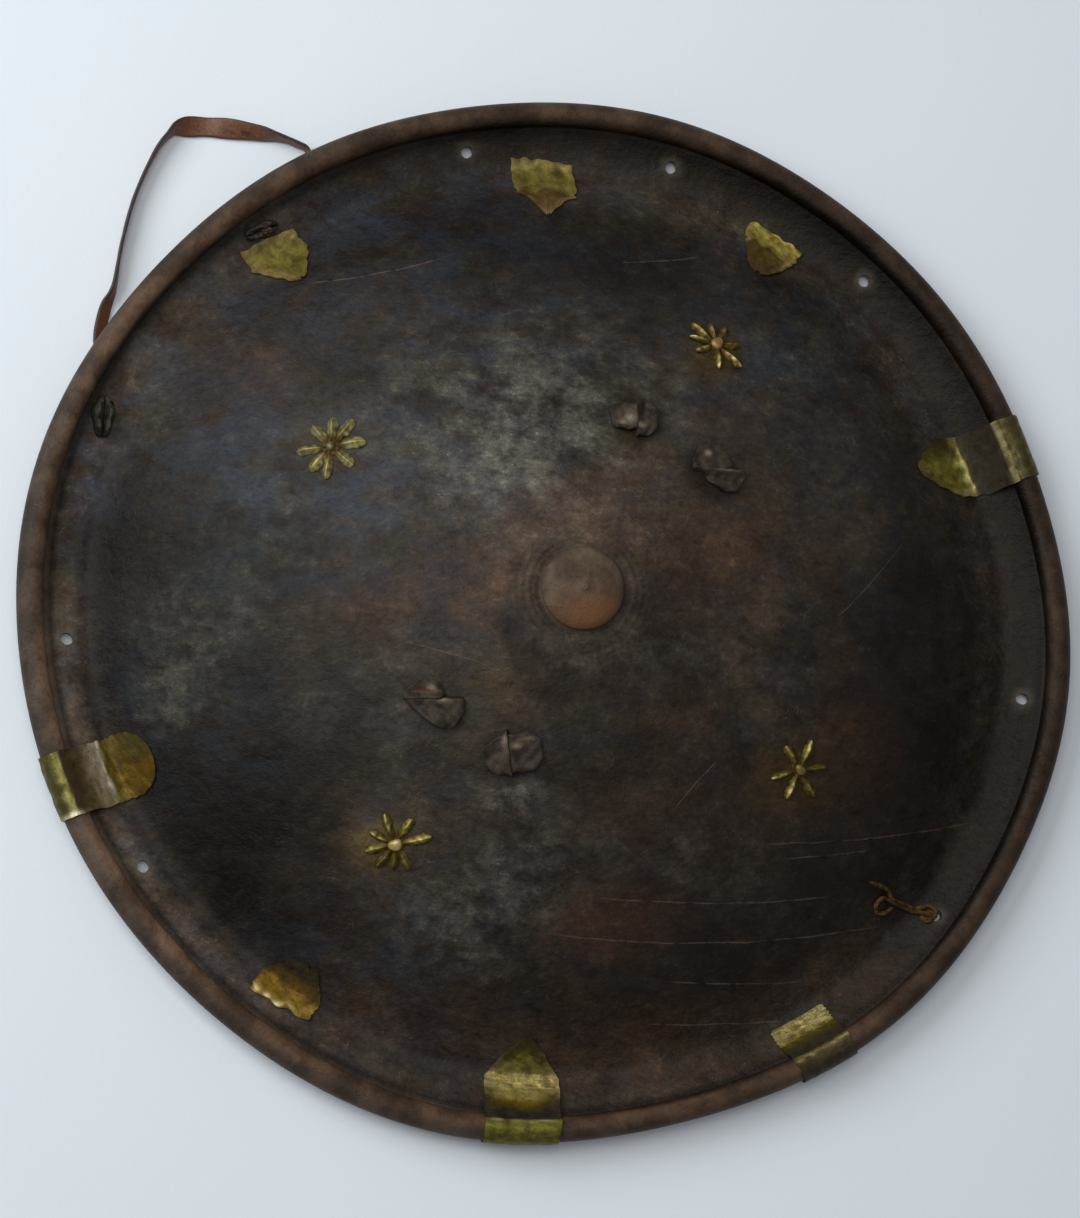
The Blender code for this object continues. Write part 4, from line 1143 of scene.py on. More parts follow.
# tarnish with painted highlights and painted shade: landmark, red, green, blue
CLIP_TONES = (
    (
        (0, 0.13, 0.085, 0.035), (0.2, 0.12, 0.105, 0.022), (0.6, 0.2, 0.18, 0.034),
        (0.9, 0.24, 0.21, 0.05), (0.97, 0.58, 0.53, 0.2), (1.08, 0.52, 0.47, 0.17),
        (1.22, 0.045, 0.034, 0.01), (1.6, 0.02, 0.015, 0.006), (2.8, 0.02, 0.015, 0.007),
        (2.9, 0.34, 0.3, 0.16), (3.02, 0.28, 0.24, 0.11), (3.12, 0.075, 0.063, 0.022),
        (3.6, 0.05, 0.041, 0.015), (4.2, 0.072, 0.06, 0.021), (5, 0.07, 0.055, 0.022),
        (6, 0.05, 0.04, 0.02),
    ),
    (
        (0, 0.068, 0.04, 0.004), (1, 0.08, 0.0512, 0.004), (1.55, 0.0864, 0.0576, 0.0048),
        (1.72, 0.12, 0.096, 0.024), (1.84, 0.46, 0.4, 0.31), (2.3, 0.48, 0.4, 0.3),
        (2.48, 0.33, 0.25, 0.16), (2.6, 0.135, 0.095, 0.045), (2.95, 0.075, 0.05, 0.024),
        (3.6, 0.034, 0.023, 0.013), (3.8, 0.27, 0.24, 0.085), (4, 0.17, 0.15, 0.045),
        (4.3, 0.07, 0.062, 0.017), (5, 0.08, 0.072, 0.02), (6, 0.05, 0.04, 0.02),
    ),
    (
        (0, 0.038, 0.032, 0.009), (0.35, 0.045, 0.038, 0.009), (0.45, 0.11, 0.092, 0.018),
        (0.6, 0.189, 0.163, 0.0387), (0.95, 0.189, 0.163, 0.0516), (1.2, 0.249, 0.215, 0.0731),
        (1.9, 0.344, 0.292, 0.103), (2.33, 0.344, 0.284, 0.086), (2.42, 0.24, 0.16, 0.016),
        (2.5, 0.13, 0.1, 0.01), (2.64, 0.08, 0.062, 0.009), (2.72, 0.018, 0.013, 0.01),
        (3.02, 0.016, 0.012, 0.01), (3.1, 0.38, 0.34, 0.19), (3.22, 0.2, 0.18, 0.05),
        (3.6, 0.125, 0.112, 0.02), (4.6, 0.105, 0.095, 0.017), (5.2, 0.06, 0.05, 0.02),
        (6, 0.05, 0.04, 0.02),
    ),
    (
        (1, 0.12, 0.1, 0.035), (1.15, 0.25, 0.21, 0.08), (1.6, 0.23, 0.19, 0.06),
        (1.95, 0.14, 0.115, 0.026), (2.25, 0.095, 0.074, 0.016), (2.45, 0.03, 0.022, 0.011),
        (3.06, 0.022, 0.016, 0.011), (3.12, 0.13, 0.115, 0.025), (3.28, 0.15, 0.13, 0.03),
        (3.36, 0.3, 0.25, 0.15), (3.46, 0.15, 0.13, 0.035), (3.7, 0.045, 0.034, 0.014),
        (4.3, 0.032, 0.024, 0.012), (6, 0.05, 0.04, 0.02),
    ),
)
# painted highlights, painted shade and tarnish: along (landmarks), across (-1 to 1), reach along
# and across, strength, red, green, blue
CLIP_DABS = (
    (
        (0.75, 1, 0.5, 0.55, 1, 0.038, 0.028, 0.011),
        (0.35, 0.05, 0.25, 0.3, 0.7, 0.26, 0.24, 0.05),
        (0.95, -0.95, 0.3, 0.14, 0.7, 0.34, 0.24, 0.15),
    ),
    (
        (0.3, -0.75, 0.7, 0.75, 0.8, 0.05, 0.042, 0.008),
        (0.5, 0.45, 0.45, 0.45, 0.8, 0.13, 0.072, 0.007),
        (1.9, 0.85, 0.7, 0.25, 0.7, 0.2, 0.18, 0.045),
        (4.1, 0.97, 0.8, 0.1, 0.9, 0.66, 0.64, 0.46),
    ),
    (
        (1.3, -0.92, 0.9, 0.12, 0.6, 0.26, 0.18, 0.11),
        (1.5, 0.92, 0.9, 0.12, 0.6, 0.26, 0.18, 0.11),
        (0.95, 0.22, 0.22, 0.1, 0.6, 0.08, 0.068, 0.022),
        (1.3, -0.1, 0.16, 0.08, 0.5, 0.12, 0.095, 0.03),
        (0.55, -0.8, 0.25, 0.25, 0.8, 0.03, 0.024, 0.01),
        (0.6, 0.75, 0.2, 0.22, 0.7, 0.034, 0.027, 0.01),
        (2.5, 0.98, 0.4, 0.4, 1, 0.026, 0.018, 0.012),
        (2.5, -0.98, 0.4, 0.3, 1, 0.026, 0.018, 0.012),
    ),
    ((1.4, 0.55, 0.4, 0.30, 0.7, 0.30, 0.27, 0.12), (1.6, -0.75, 0.3, 0.2, 0.5, 0.26, 0.19, 0.11)),
)


def sheet_width(share, width, tip, shoulder, roundness):
    """Width at a share of the length: a straight or a rounded shoulder, then the whole width."""
    q = np.clip(share / shoulder, 0, 1)
    rise = (1 - roundness) * q + roundness * np.sqrt(1 - (1 - q) ** 2)
    return width * (tip + (1 - tip) * rise)


def clip_line(tip_r, leave_r, off):
    """A clip's line at a distance off from the hide: along the face, straight to a tangent of the
    bead, over it, and in under the flange."""
    face = np.stack(offset_face(np.linspace(tip_r, leave_r, FACE_ROWS), off), -1)
    reach = BEAD_R + off
    away = face[-1] - BEAD_C
    start = math.atan2(away[1], away[0]) % (2 * math.pi) - math.acos(reach / np.hypot(*away))
    last = np.array(offset_face(meets_bead(off, True), -HIDE_T - off)) - BEAD_C
    end = math.atan2(last[1], last[0]) % (2 * math.pi) - 2 * math.pi
    turn = np.linspace(start, end, BEAD_ROWS)
    bead = BEAD_C + reach * np.stack([np.cos(turn), np.sin(turn)], -1)
    span = face[-1] + np.linspace(0, 1, SPAN_ROWS + 2)[1:-1, None] * (bead[0] - face[-1])
    leaf = np.linspace(meets_bead(off, True), CLIP_BACK_R, LEAF_ROWS)[1:]
    return np.concatenate([face, span, bead, np.stack(offset_face(leaf, -HIDE_T - off), -1)])


def landmarks(line):
    """How far along the landmarks each row lies: 0 tip, 1 gutter, 2 where the sheet leaves the
    flange, 3 bead, 4 crest, 5 side and 6 end."""
    s = np.linalg.norm(np.diff(line, axis=0, prepend=line[:1]), axis=1).cumsum()
    bead = FACE_ROWS + SPAN_ROWS
    gutter = np.searchsorted(line[:FACE_ROWS, 0], GUTTER_R)
    crest = bead + int(np.argmax(line[bead : bead + BEAD_ROWS, 1]))
    side = bead + int(np.argmax(line[bead : bead + BEAD_ROWS, 0]))
    at = s[[0, gutter, FACE_ROWS - 1, bead, crest, side, -1]]
    return np.interp(s, at + np.arange(7) * 1e-7, range(7))


def sheet_shell(line_at, turn, widths, lean, seed, dent, torn=0.0):
    """A slab of sheet that follows a line of the hide's section, dented, and torn at the sides.

    line_at gives radius and height for distances off and for places across from -1 to 1. dent
    is the depth of the dents, for the whole sheet or row by row.
    """
    t = np.linspace(-1, 1, SHEET_COLUMNS)[None]
    rows = np.arange(len(widths))[:, None]
    tear = torn * uneven(rows * 0.0010, np.sign(t) * 0.05, 0.007, seed + 9)
    side = 0.5 * widths[:, None] * t + tear * np.sign(t) * t**4
    beat = 0.65 * uneven(rows * 0.0010, side, 0.013, seed)
    beat = beat + 0.35 * uneven(rows * 0.0010, side, 0.006, seed + 5)
    beat = np.maximum(np.reshape(dent, (-1, 1)) * beat, -0.8 * SHEET_GAP)
    layers = []
    for layer in (1, 0):
        r, z = line_at(SHEET_GAP + layer * SHEET_T + beat, t)
        layers.append(warped(r, turn + (side + lean[:, None]) / r, z))
    upper, lower = layers
    return slab(upper, lower), t + 0 * rows


def sheet_tones(made, tone):
    """Gives both faces of a sheet its colours."""
    keep_tone(made.data, round_slab(tone))


def make_clip(number, bearing, tip_r, width, tip, shoulder, roundness, leave_r, lean):
    """One clip: its face narrows in a shoulder to the tip, its rim part is cut straight."""
    straight = SPAN_ROWS + BEAD_ROWS + LEAF_ROWS - 1
    share = np.concatenate([np.linspace(0, 1, FACE_ROWS), np.ones(straight)])
    widths = sheet_width(share, width, tip, shoulder, roundness)
    base = clip_line(tip_r, leave_r, SHEET_GAP)
    out = clip_line(tip_r, leave_r, SHEET_GAP + 0.001) - base

    def line_at(off, t):
        line = base[:, None] + (off[..., None] - SHEET_GAP) * out[:, None] / 0.001
        return line[..., 0], line[..., 1]

    shell, t = sheet_shell(
        line_at, math.radians(bearing), widths, lean * (1 - share), 40 + number, 0.00022, 0.0004
    )
    made = piece(f"clip_{number}", shell, BRASS, f"rim_clip_{number}")
    ragged = uneven(t, np.arange(len(base))[:, None] * 0.1, 0.7, number)
    at = landmarks(base)[:, None] + 0.04 * ragged
    streak = 1 + 0.20 * uneven(at * 0.03, t * 0.02, 0.006, 90 + number)
    streak = streak * (1 + 0.15 * uneven(at * 0.10, t * 0.10, 0.05, 95 + number))
    # tarnish with the painted highlights and shade of its landmarks
    tone = banded(at, CLIP_TONES[number - 1]) * streak[..., None]
    sheet_tones(made, dabbed(tone, at, t, CLIP_DABS[number - 1]))


for number, clip in enumerate(CLIPS, 1):
    make_clip(number, *clip)

# %% [markdown]
# ## Broken plates
# Four more clips have snapped at the fold in the gutter, and only their inner leaves are left.
# They are the same strip, cut short, with a torn outer edge. Each has tarnished in its own way,
# and each carries its own painted highlights and painted shade.

# %% Plates
# bearing, inner and outer radius, width, share at the tip, share of the length that the shoulder
# takes, its roundness, and how much farther out the higher bearings lie
PLATES = (
    (95.1, 0.24, 0.2727, 0.0362, 0.15, 0.75, 0.5, 0),
    (126.9, 0.2375, 0.2766, 0.0375, 0.05, 0.47, 0, 0.0045),
    (163.6, 0.247, 0.2804, 0.035, 0.11, 0.55, 0.25, 0.0048),
    (270.4, 0.2545, 0.283, 0.0388, 0.32, 0.55, 0.3, -0.0042),
)
# place along, how much wider the torn corners stand there, dents of the inner and the outer part
PLATE_TEARS = (
    (0.9, 0, 0.2, 0.9), (0.37, 0.006, 0.3, 0.3), (0.2, 0, 0.25, 0.35), (0.2, 0, 0.4, 0.35),
)
# tarnish with painted highlights and painted shade: share of the length, red, green, blue
PLATE_TONES = (
    (
        (0, 0.058, 0.035, 0.014), (0.25, 0.085, 0.056, 0.011), (0.52, 0.09, 0.062, 0.012),
        (0.58, 0.048, 0.033, 0.009), (0.62, 0.191, 0.141, 0.04), (0.7, 0.212, 0.167, 0.032),
        (0.92, 0.318, 0.262, 0.057), (1, 0.127, 0.092, 0.032),
    ),
    (
        (0, 0.18, 0.126, 0.066), (0.12, 0.106, 0.066, 0.023), (0.3, 0.095, 0.06, 0.018),
        (0.38, 0.064, 0.041, 0.012), (0.44, 0.111, 0.085, 0.018), (0.55, 0.148, 0.12, 0.026),
        (0.85, 0.159, 0.126, 0.033), (0.95, 0.212, 0.167, 0.053), (1, 0.148, 0.107, 0.042),
    ),
    (
        (0, 0.138, 0.099, 0.03), (0.15, 0.095, 0.076, 0.014), (0.45, 0.127, 0.107, 0.019),
        (0.8, 0.154, 0.128, 0.028), (1, 0.191, 0.15, 0.051),
    ),
    (
        (0, 0.02, 0.013, 0.006), (0.25, 0.026, 0.017, 0.006), (0.4, 0.085, 0.048, 0.006),
        (0.6, 0.135, 0.078, 0.006), (0.78, 0.18, 0.105, 0.007), (0.9, 0.25, 0.17, 0.03),
        (1, 0.138, 0.085, 0.025),
    ),
)
# painted highlights, painted shade and tarnish: along (share), across (-1 to 1), reach along and
# across, strength, red, green, blue
PLATE_DABS = (
    (
        (0.98, 0.75, 0.2, 0.3, 0.7, 0.36, 0.31, 0.075),
        (0.66, 0.95, 0.08, 0.12, 0.5, 0.318, 0.252, 0.167),
        (0.85, -0.45, 0.16, 0.25, 0.7, 0.488, 0.407, 0.106),
        (0.55, -0.85, 0.2, 0.1, 0.9, 0.382, 0.301, 0.123),
    ),
    (
        (0.37, 1, 0.05, 0.14, 0.8, 0.276, 0.213, 0.114),
        (0.37, -1, 0.06, 0.18, 0.8, 0.297, 0.223, 0.123),
        (0.2, -0.9, 0.12, 0.4, 0.6, 0.212, 0.141, 0.062),
        (0.62, 0.62, 0.1, 0.04, 0.7, 0.064, 0.049, 0.014),
        (0.52, -0.2, 0.08, 0.5, 0.4, 0.191, 0.16, 0.044),
    ),
    (
        (0.55, 0.95, 0.6, 0.14, 0.7, 0.233, 0.145, 0.066),
        (0.25, 0.6, 0.16, 0.24, 0.6, 0.223, 0.15, 0.066),
        (0.97, -0.8, 0.1, 0.2, 0.6, 0.286, 0.242, 0.097),
        (0.3, -0.5, 0.22, 0.4, 0.5, 0.072, 0.058, 0.012),
    ),
    (
        (0.93, -0.85, 0.06, 0.12, 1, 0.901, 0.679, 0.334),
        (0.94, -0.45, 0.05, 0.1, 1, 1.007, 0.795, 0.44),
        (0.95, -0.05, 0.05, 0.15, 0.9, 0.901, 0.728, 0.37),
        (0.95, 0.35, 0.05, 0.15, 0.8, 0.53, 0.407, 0.141),
        (0.55, 0.85, 0.25, 0.2, 0.7, 0.06, 0.042, 0.012),
        (0.18, -0.05, 0.1, 0.16, 1, 0.019, 0.012, 0.011),
        (0.8, 0.75, 0.1, 0.14, 0.6, 0.318, 0.204, 0.04),
    ),
)


def make_plate(number, bearing, inner, outer, width, tip, shoulder, roundness, tilt):
    """One leaf, narrowing in a shoulder to its tip, with torn corners and a torn outer edge."""
    share = np.linspace(0, 1, FACE_ROWS)
    at, horn, calm, lively = PLATE_TEARS[number - 1]
    widths = sheet_width(share, width, tip, shoulder, roundness)
    widths = widths + horn * np.exp(-(((share - at) / 0.03) ** 2))
    beaten = calm + (lively - calm) * smooth((share - 0.5) / 0.2)
    outward = np.linspace(inner, outer, FACE_ROWS)[:, None]
    slant = 0.5 * tilt * np.minimum(1, share / shoulder)[:, None]

    def line_at(off, t):
        s = share[:, None]
        torn = 0.0006 * uneven(t * 0.02, 0.0, 0.009, 80 + number) * s**5
        torn = torn + 0.0010 * uneven(t * 0.02, 0.3, 0.009, 85 + number) * (1 - s) ** 4
        return offset_face(outward + slant * t + torn, off)

    shell, t = sheet_shell(
        line_at, math.radians(bearing), widths, 0 * share, 60 + number, 0.0007 * beaten, 0.0005
    )
    made = piece(f"plate_{number}", shell, PLATE_BRASS, f"broken_plate_{number}")
    s = share[:, None] + 0.05 * uneven(t * 0.02, share[:, None] * 0.03, 0.015, number)
    mottle = 1 + 0.20 * uneven(s * 0.035, t * 0.018, 0.012, 96 + number)
    mottle = mottle + 0.16 * uneven(s * 0.035, t * 0.018, 0.005, 99 + number)
    # tarnish with painted highlights and shade along the leaf
    tone = banded(s, PLATE_TONES[number - 1]) * mottle[..., None]
    sheet_tones(made, dabbed(tone, s, t, PLATE_DABS[number - 1]))


for number, plate in enumerate(PLATES, 1):
    make_plate(number, *plate)

# %% [markdown]
# ## Stars
# Each star is struck from thin sheet: leaf-shaped rays, no two alike, round the uneven head of its
# pin. A ray is a flat leaf with a narrow ridge along its middle. Its half width follows
# (s/m)^a ((1-s)/(1-m))^b with the widest place at m, but never less than a waist at the hub.
# Only the ridges are rubbed yellow, with painted highlights along them; the leaves are olive, and
# at the hub brown with old wax.

# %% Star shapes
# place, reach, width of the rays, radius of the pin head, and the colours of head and leaves;
# then for each ray its bearing, share of the reach and the brightness of its painted ridge
# highlight
STARS = (
    (
        (-0.1615, -0.0118, 0.0195, 0.0076, 0.0027, (0.13, 0.115, 0.060), (0.175, 0.157, 0.070)),
        ((85, 1.05, 0.35), (46, 1.0, 0.55), (-10, 0.87, 0.45), (-63, 1.0, 0.6))
        + ((-96, 0.92, 0.8), (-140, 0.95, 0.4), (163, 0.84, 0.2), (121, 0.92, 0.3)),
    ),
    (
        (-0.0175, 0.1758, 0.0180, 0.0054, 0.0038, (0.26, 0.165, 0.065), (0.072, 0.046, 0.006)),
        ((176, 1.06, 0.7), (205, 0.94, 1.0), (240, 0.81, 0.7), (306, 0.91, 0.9))
        + ((350, 1.10, 0.8), (35, 0.80, 0.2), (89, 0.74, 0.2), (139, 0.74, 0.2)),
    ),
    (
        (0.0005, -0.1735, 0.0190, 0.0058, 0.0036, (0.42, 0.35, 0.14), (0.080, 0.058, 0.008)),
        ((149, 0.97, 0.9), (97, 0.88, 0.7), (46, 1.08, 1.0), (-20, 0.87, 0.35))
        + ((-55, 0.74, 0.10), (-93, 0.84, 0.25), (-136, 0.90, 0.5), (192, 0.86, 0.9)),
    ),
    (
        (0.1634, -0.0020, 0.0185, 0.0058, 0.0030, (0.16, 0.128, 0.042), (0.078, 0.056, 0.006)),
        ((160, 0.86, 0.6), (103, 1.0, 1.15), (42, 0.92, 0.15), (-25, 0.93, 0.35))
        + ((-82, 0.98, 0.8), (-129, 0.99, 1.1)),
    ),
)
RAY_H, RAY_PEAK, WAIST, RAY_GRID = 0.0026, 0.66, 0.42, (33, 21)
PIN_HEAD_H, WEB_R = 0.0024, 0.0050
RUBBED_AND_LIT, WAX = np.array((0.43, 0.36, 0.12)), np.array((0.062, 0.031, 0.004))


def petal(s, rise, fall):
    """1 at the peak, falling to 0 at both ends: (s/m)^rise ((1-s)/(1-m))^fall."""
    m = rise / (rise + fall)
    return (s / m) ** rise * ((1 - s) / (1 - m)) ** fall


def ray_shell(x, y, bearing, reach, width, height, bend, bright, leaf):
    """A leaf with a narrow ridge, a little bent, laid on the hide, and its colours with a painted
    highlight along the ridge.
    """
    s, t = lattice(0, *RAY_GRID)
    fall = 0.42
    belly = petal(np.clip(s, 0.02, 0.996), fall * RAY_PEAK / (1 - RAY_PEAK), fall)
    half = 0.5 * width * np.where(s < RAY_PEAK, np.maximum(belly, WAIST), belly)
    along = reach * (0.10 + 0.90 * s)
    ragged = 1 + 0.10 * uneven(along, t * 0.004, 0.005, int(bearing) % 97)
    across = half * t * ragged + bend * s**2
    px, py = laid(x, y, math.radians(bearing), along, across)
    crest = (0.45 + 0.55 * smooth((s - 0.10) / 0.5)) * np.sqrt(np.clip((1.02 - s) / 0.22, 0.05, 1))
    fold = 0.42 * (1 - np.abs(t) ** 3) + 0.58 * np.exp(-((t / 0.36) ** 2))
    top = on_face(px, py, 0.0005 + height * crest * fold)
    worn = 0.75 + 0.45 * uneven(px, py, 0.0035, int(bearing) % 89)
    # painted highlight along the ridge, over the rubbed yellow
    shine = bright * worn * smooth((s - 0.15) / 0.45) * np.exp(-((t / 0.42) ** 4))
    leafy = smooth((s - 0.12) / 0.3)[..., None]
    mottle = 0.95 + 0.35 * uneven(px, py, 0.0042, int(bearing) % 83) - 0.4 * t**4
    tone = WAX + leafy * (np.array(leaf) * mottle[..., None] - WAX)
    tone = tone + np.clip(shine, 0, 1.2)[..., None] * (RUBBED_AND_LIT - tone)
    return slab(top, on_face(px, py, np.full_like(s, 0.0003))), round_slab(tone).reshape(-1, 3)


def turned_shell(x, y, radii, lifts, sides, wobble=0.0):
    """Rings of given radii and lifts over a place on the hide, closed by a cap at each end."""
    turn = circle(sides)[None]
    radii, lifts = np.array(radii)[:, None], np.array(lifts)[:, None]
    radii = radii * (1 + wobble * (np.sin(2 * turn + 90 * x) + 0.7 * np.sin(3 * turn + 200 * y)))
    return tube(on_face(x + radii * np.cos(turn), y + radii * np.sin(turn), lifts + 0 * turn))


def star_middle(x, y, head_r):
    """The web between the rays, the pin head on it, and the pin's clenched end on the back."""
    radii = WEB_R * np.array((0.3, 1, 0.94, 0.5))
    web = turned_shell(x, y, radii, (3e-4, 3e-4, 8e-4, 11e-4), 40, 0.05)
    share = np.array([1, 0.94, 0.82, 0.66, 0.48, 0.28, 0.06])
    lifts = 13e-4 + PIN_HEAD_H * np.sqrt(1 - share**2.4)
    head = turned_shell(x, y, head_r * np.array([0.9, *share]), (6e-4, *lifts), 28, 0.10)
    radii = 0.0032 * np.array((0.45, 0.5, 1.0, 0.95, 0.6))
    clench = turned_shell(x, y, radii, -HIDE_T - np.array((-0.003, 2e-4, 3e-4, 12e-4, 17e-4)), 18)
    return web, head, clench


def make_star(number, middle, rays):
    """All rays of a star, its web, its pin head and the pin's clenched end."""
    x, y, reach, width, head_r, boss, leaf = middle
    rng = np.random.default_rng(70 + number)
    shells, tones = [], []
    for bearing, share, bright in rays:
        wide, high = width * rng.uniform(0.78, 1.10), RAY_H * rng.uniform(0.80, 1.1)
        bend = 0.0012 * rng.uniform(-1, 1)
        shell, tone = ray_shell(x, y, bearing, reach * share, wide, high, bend, bright, leaf)
        shells.append(shell)
        tones.append(tone)
    for shell, tone in zip(star_middle(x, y, head_r), (WAX, boss, leaf)):
        shells.append(shell)
        tones.append(np.tile(tone, (len(shell[0]), 1)))
    made = piece(f"star_shape_{number}", shells, STAR_BRASS, f"star_{number}", 40)
    keep_tone(made.data, np.concatenate(tones))


for number, star in enumerate(STARS, 1):
    make_star(number, *star)

# %% [markdown]
# ## Hand grips
# Two straps behind the hide. Each end comes up through a slit and is split and folded back on the
# face, so that it can't pull through. From the front only the folded tabs show, stiff, dirty and
# cupped at the edges, with painted highlights and painted shade on them; behind, the straps hang
# slack enough for a fist.

# %% Grip leather
GRIP_LEATHER = old_leather(
    "grip_leather", (0.017, 0.0112, 0.0076), (0.037, 0.0255, 0.0170), (0.070, 0.053, 0.038)
)

# %% Grips
GRIP_W, NECK_W, GRIP_T, GRIP_LOW, GRIP_SIDES = 0.024, 0.019, 0.004, 0.034, 28
TAB_T, TAB_ROOT, TAB_GRID = 0.0030, 0.3 * SLIT_W, (37, 35)
# turn of each knot's fold; for its two tabs: length, width, how far aside the tab starts and how
# much farther its end lies, height, and how much narrower its end is
KNOTS = {
    (0, 0): (35, (0.0105, 0.0225, 0.005, -0.0017, 1.3, 0.9), (0.0165, 0.03, 0, 0.008, 0.8, 1.1)),
    (0, 1): (125, (0.0155, 0.017, 0.001, 0, 1.5, 0.3), (0.012, 0.025, -0.001, 0, 0.7, 0.9)),
    (1, 0): (135, (0.014, 0.026, 0, 0, 0.9, 1.1), (0.018, 0.023, 0, 0, 1.1, 0.5)),
    (1, 1): (35, (0.0155, 0.0225, 0, 0, 0.9, 0.2), (0.0125, 0.027, 0.0062, 0.003, 1.2, 1)),
}
RED_FOLD = (-0.0875, -0.0581)  # a dark red fold, to the right and up as the shield hung
# painted highlights (+) and painted shade (-) on the tabs: place along and across, reach along and
# across, strength
TAB_LIGHT_AND_SHADE = {
    (0, 0, 0): ((0.60, -0.35, 0.16, 0.26, 0.9), (0.05, 0.0, 0.08, 0.9, -0.5)),
    (0, 0, 1): ((0.12, 0.30, 0.08, 0.20, 0.6), (0.45, -0.1, 0.10, 0.5, -0.4)),
    (0, 1, 0): (
        (0.5, 0.05, 0.45, 0.6, 0.22), (0.38, 0.17, 0.12, 0.2, 0.5), (0.64, 0.55, 0.25, 0.2, 0.5),
    ),
    (0, 1, 1): ((0.30, 0.45, 0.35, 0.45, -0.8), (0.20, -0.45, 0.18, 0.15, 0.9)),
    (1, 0, 0): ((0.20, -0.60, 0.12, 0.40, 0.6), (0.95, 0.0, 0.15, 1.0, -0.7)),
    (1, 0, 1): (
        (0.32, 0.34, 0.12, 0.14, 0.9), (0.65, 0.65, 0.3, 0.12, 0.4),
        (0.52, -0.35, 0.3, 0.35, -0.8),
    ),
    (1, 1, 0): (
        (0.66, 0.27, 0.1, 0.2, 0.7), (0.3, 0.1, 0.04, 0.8, -0.4), (0.5, 0.95, 0.6, 0.2, -0.6),
    ),
    (1, 1, 1): ((0.10, 0.10, 0.07, 0.60, 0.5), (0.55, 0.2, 0.06, 0.5, -0.3)),
}


def tab_shell(x, y, turn, tab, marks, seed):
    """A tongue that rolls out of the slit, thick at the fold, thin and cupped at its end, and
    its painted highlights and painted shade."""
    length, width, slide, skew, high, taper = tab
    s, t = lattice(0, *TAB_GRID)
    along = -TAB_ROOT + s * (length + TAB_ROOT)
    half = 0.5 * width * (1 - 0.50 * taper * s**1.8) * (1 + 0.07 * np.sin(4.3 * s + seed))
    half = half * np.sqrt(np.clip(1 - 0.75 * s**7, 0, 1))
    half = half * (1 + 0.05 * uneven(along, np.sign(t) * 0.03, 0.009, seed + 2))
    px, py = laid(x, y, turn, along, slide + skew * s + half * t)
    fold = np.exp(-(((s - 0.16) / 0.20) ** 2))
    crumple = 0.0005 * uneven(px, py, 0.014, seed) + 0.00028 * uneven(px, py, 0.006, seed + 1)
    cup = 0.0013 * s**2 + 0.0008 * np.abs(t) ** 3
    under = 0.0004 + cup + 0.25 * crumple
    edge = np.sqrt((1 - 0.97 * np.abs(t) ** 6) * (1 - 0.97 * s**9))
    thick = TAB_T * (0.75 + 0.55 * high * fold) * (0.35 + 0.65 * edge) + crumple
    sink = -0.0040 * smooth((0.12 - s) / 0.12)
    # painted shade along the edges and at the root of the fold
    mark = -0.8 * np.clip(np.abs(t) ** 8 + s**12 + smooth((0.10 - s) / 0.08), 0, 1)
    for at, place, long, wide, strength in marks:
        mark = mark + strength * np.exp(-(((s - at) / long) ** 2) - ((t - place) / wide) ** 2)
    shell = slab(on_face(px, py, under + thick + sink), on_face(px, py, under * (s > 0.1) + sink))
    return shell, round_slab(mark).ravel()


def strap_behind(x):
    """The strap: down through one slit, in a slack arc behind the hide, up through the other."""
    ends = []
    for y, inwards in zip(GRIP_Y, (1, -1)):
        r = math.hypot(x, y)
        under = float(back_z(r))
        ends.append(
            [
                (x, y, float(face_z(r)) + 0.0005),
                (x, y, under - 0.0010),
                (x, y + inwards * 0.0012, under - 0.0060),
                (x, y + inwards * 0.0065, under - 0.0140),
            ]
        )
    low_y, high_y, side = ends[0][-1][1], ends[1][-1][1], (ends[0][-1][2], ends[1][-1][2])
    middle = []
    for t in (0.14, 0.32, 0.5, 0.68, 0.86):
        sag = (2 * abs(t - 0.5)) ** 2.6
        z = GRIP_LOW + sag * (side[t > 0.5] - GRIP_LOW)
        middle.append((x, low_y + t * (high_y - low_y), z))
    line = flowing(ends[0] + middle + ends[1][::-1], 6)
    ahead = headings(line)
    through = np.stack([0 * ahead[:, 0], -ahead[:, 2], ahead[:, 1]], -1)
    flat, deep = oblong(GRIP_SIDES, 6, 2.6)
    rings = line[:, None] + (deep * GRIP_T / 2)[None, :, None] * through[:, None]
    from_end = np.minimum(np.arange(len(line)), np.arange(len(line))[::-1])
    wide = NECK_W + (GRIP_W - NECK_W) * np.clip((from_end - 9) / 9, 0, 1)
    return tube(rings + (wide[:, None] * flat / 2)[..., None] * np.array((1.0, 0, 0)))


def make_grip(side, x):
    """One strap and the two folded tabs at each of its ends."""
    shells = [strap_behind(x)]
    marks = [np.zeros(len(shells[0][0]))]
    for end, y in enumerate(GRIP_Y):
        turn, *tabs = KNOTS[side, end]
        for half, tab in enumerate(tabs):
            heading = math.radians(turn + 90) + half * math.pi
            seed = 100 + 10 * side + 4 * end + half
            shell, mark = tab_shell(x, y, heading, tab, TAB_LIGHT_AND_SHADE[side, end, half], seed)
            shells.append(shell)
            marks.append(mark)
    made = piece(f"grip_{side + 1}", shells, GRIP_LEATHER, f"hand_grip_{side + 1}")
    marks = np.concatenate(marks)
    keep_field(made.data, "lit", np.clip(marks, 0, 1))
    keep_field(made.data, "grime_and_shade", np.clip(-marks, 0, 0.9))
    if side == 0:
        u, v = as_hung(*points_of(made.data).T[:2])
        line = ((v - RED_FOLD[1]) / 0.0008) ** 2 + ((u - RED_FOLD[0]) / 0.0070) ** 4
        keep_field(made.data, "red", 0.8 * np.exp(-line))


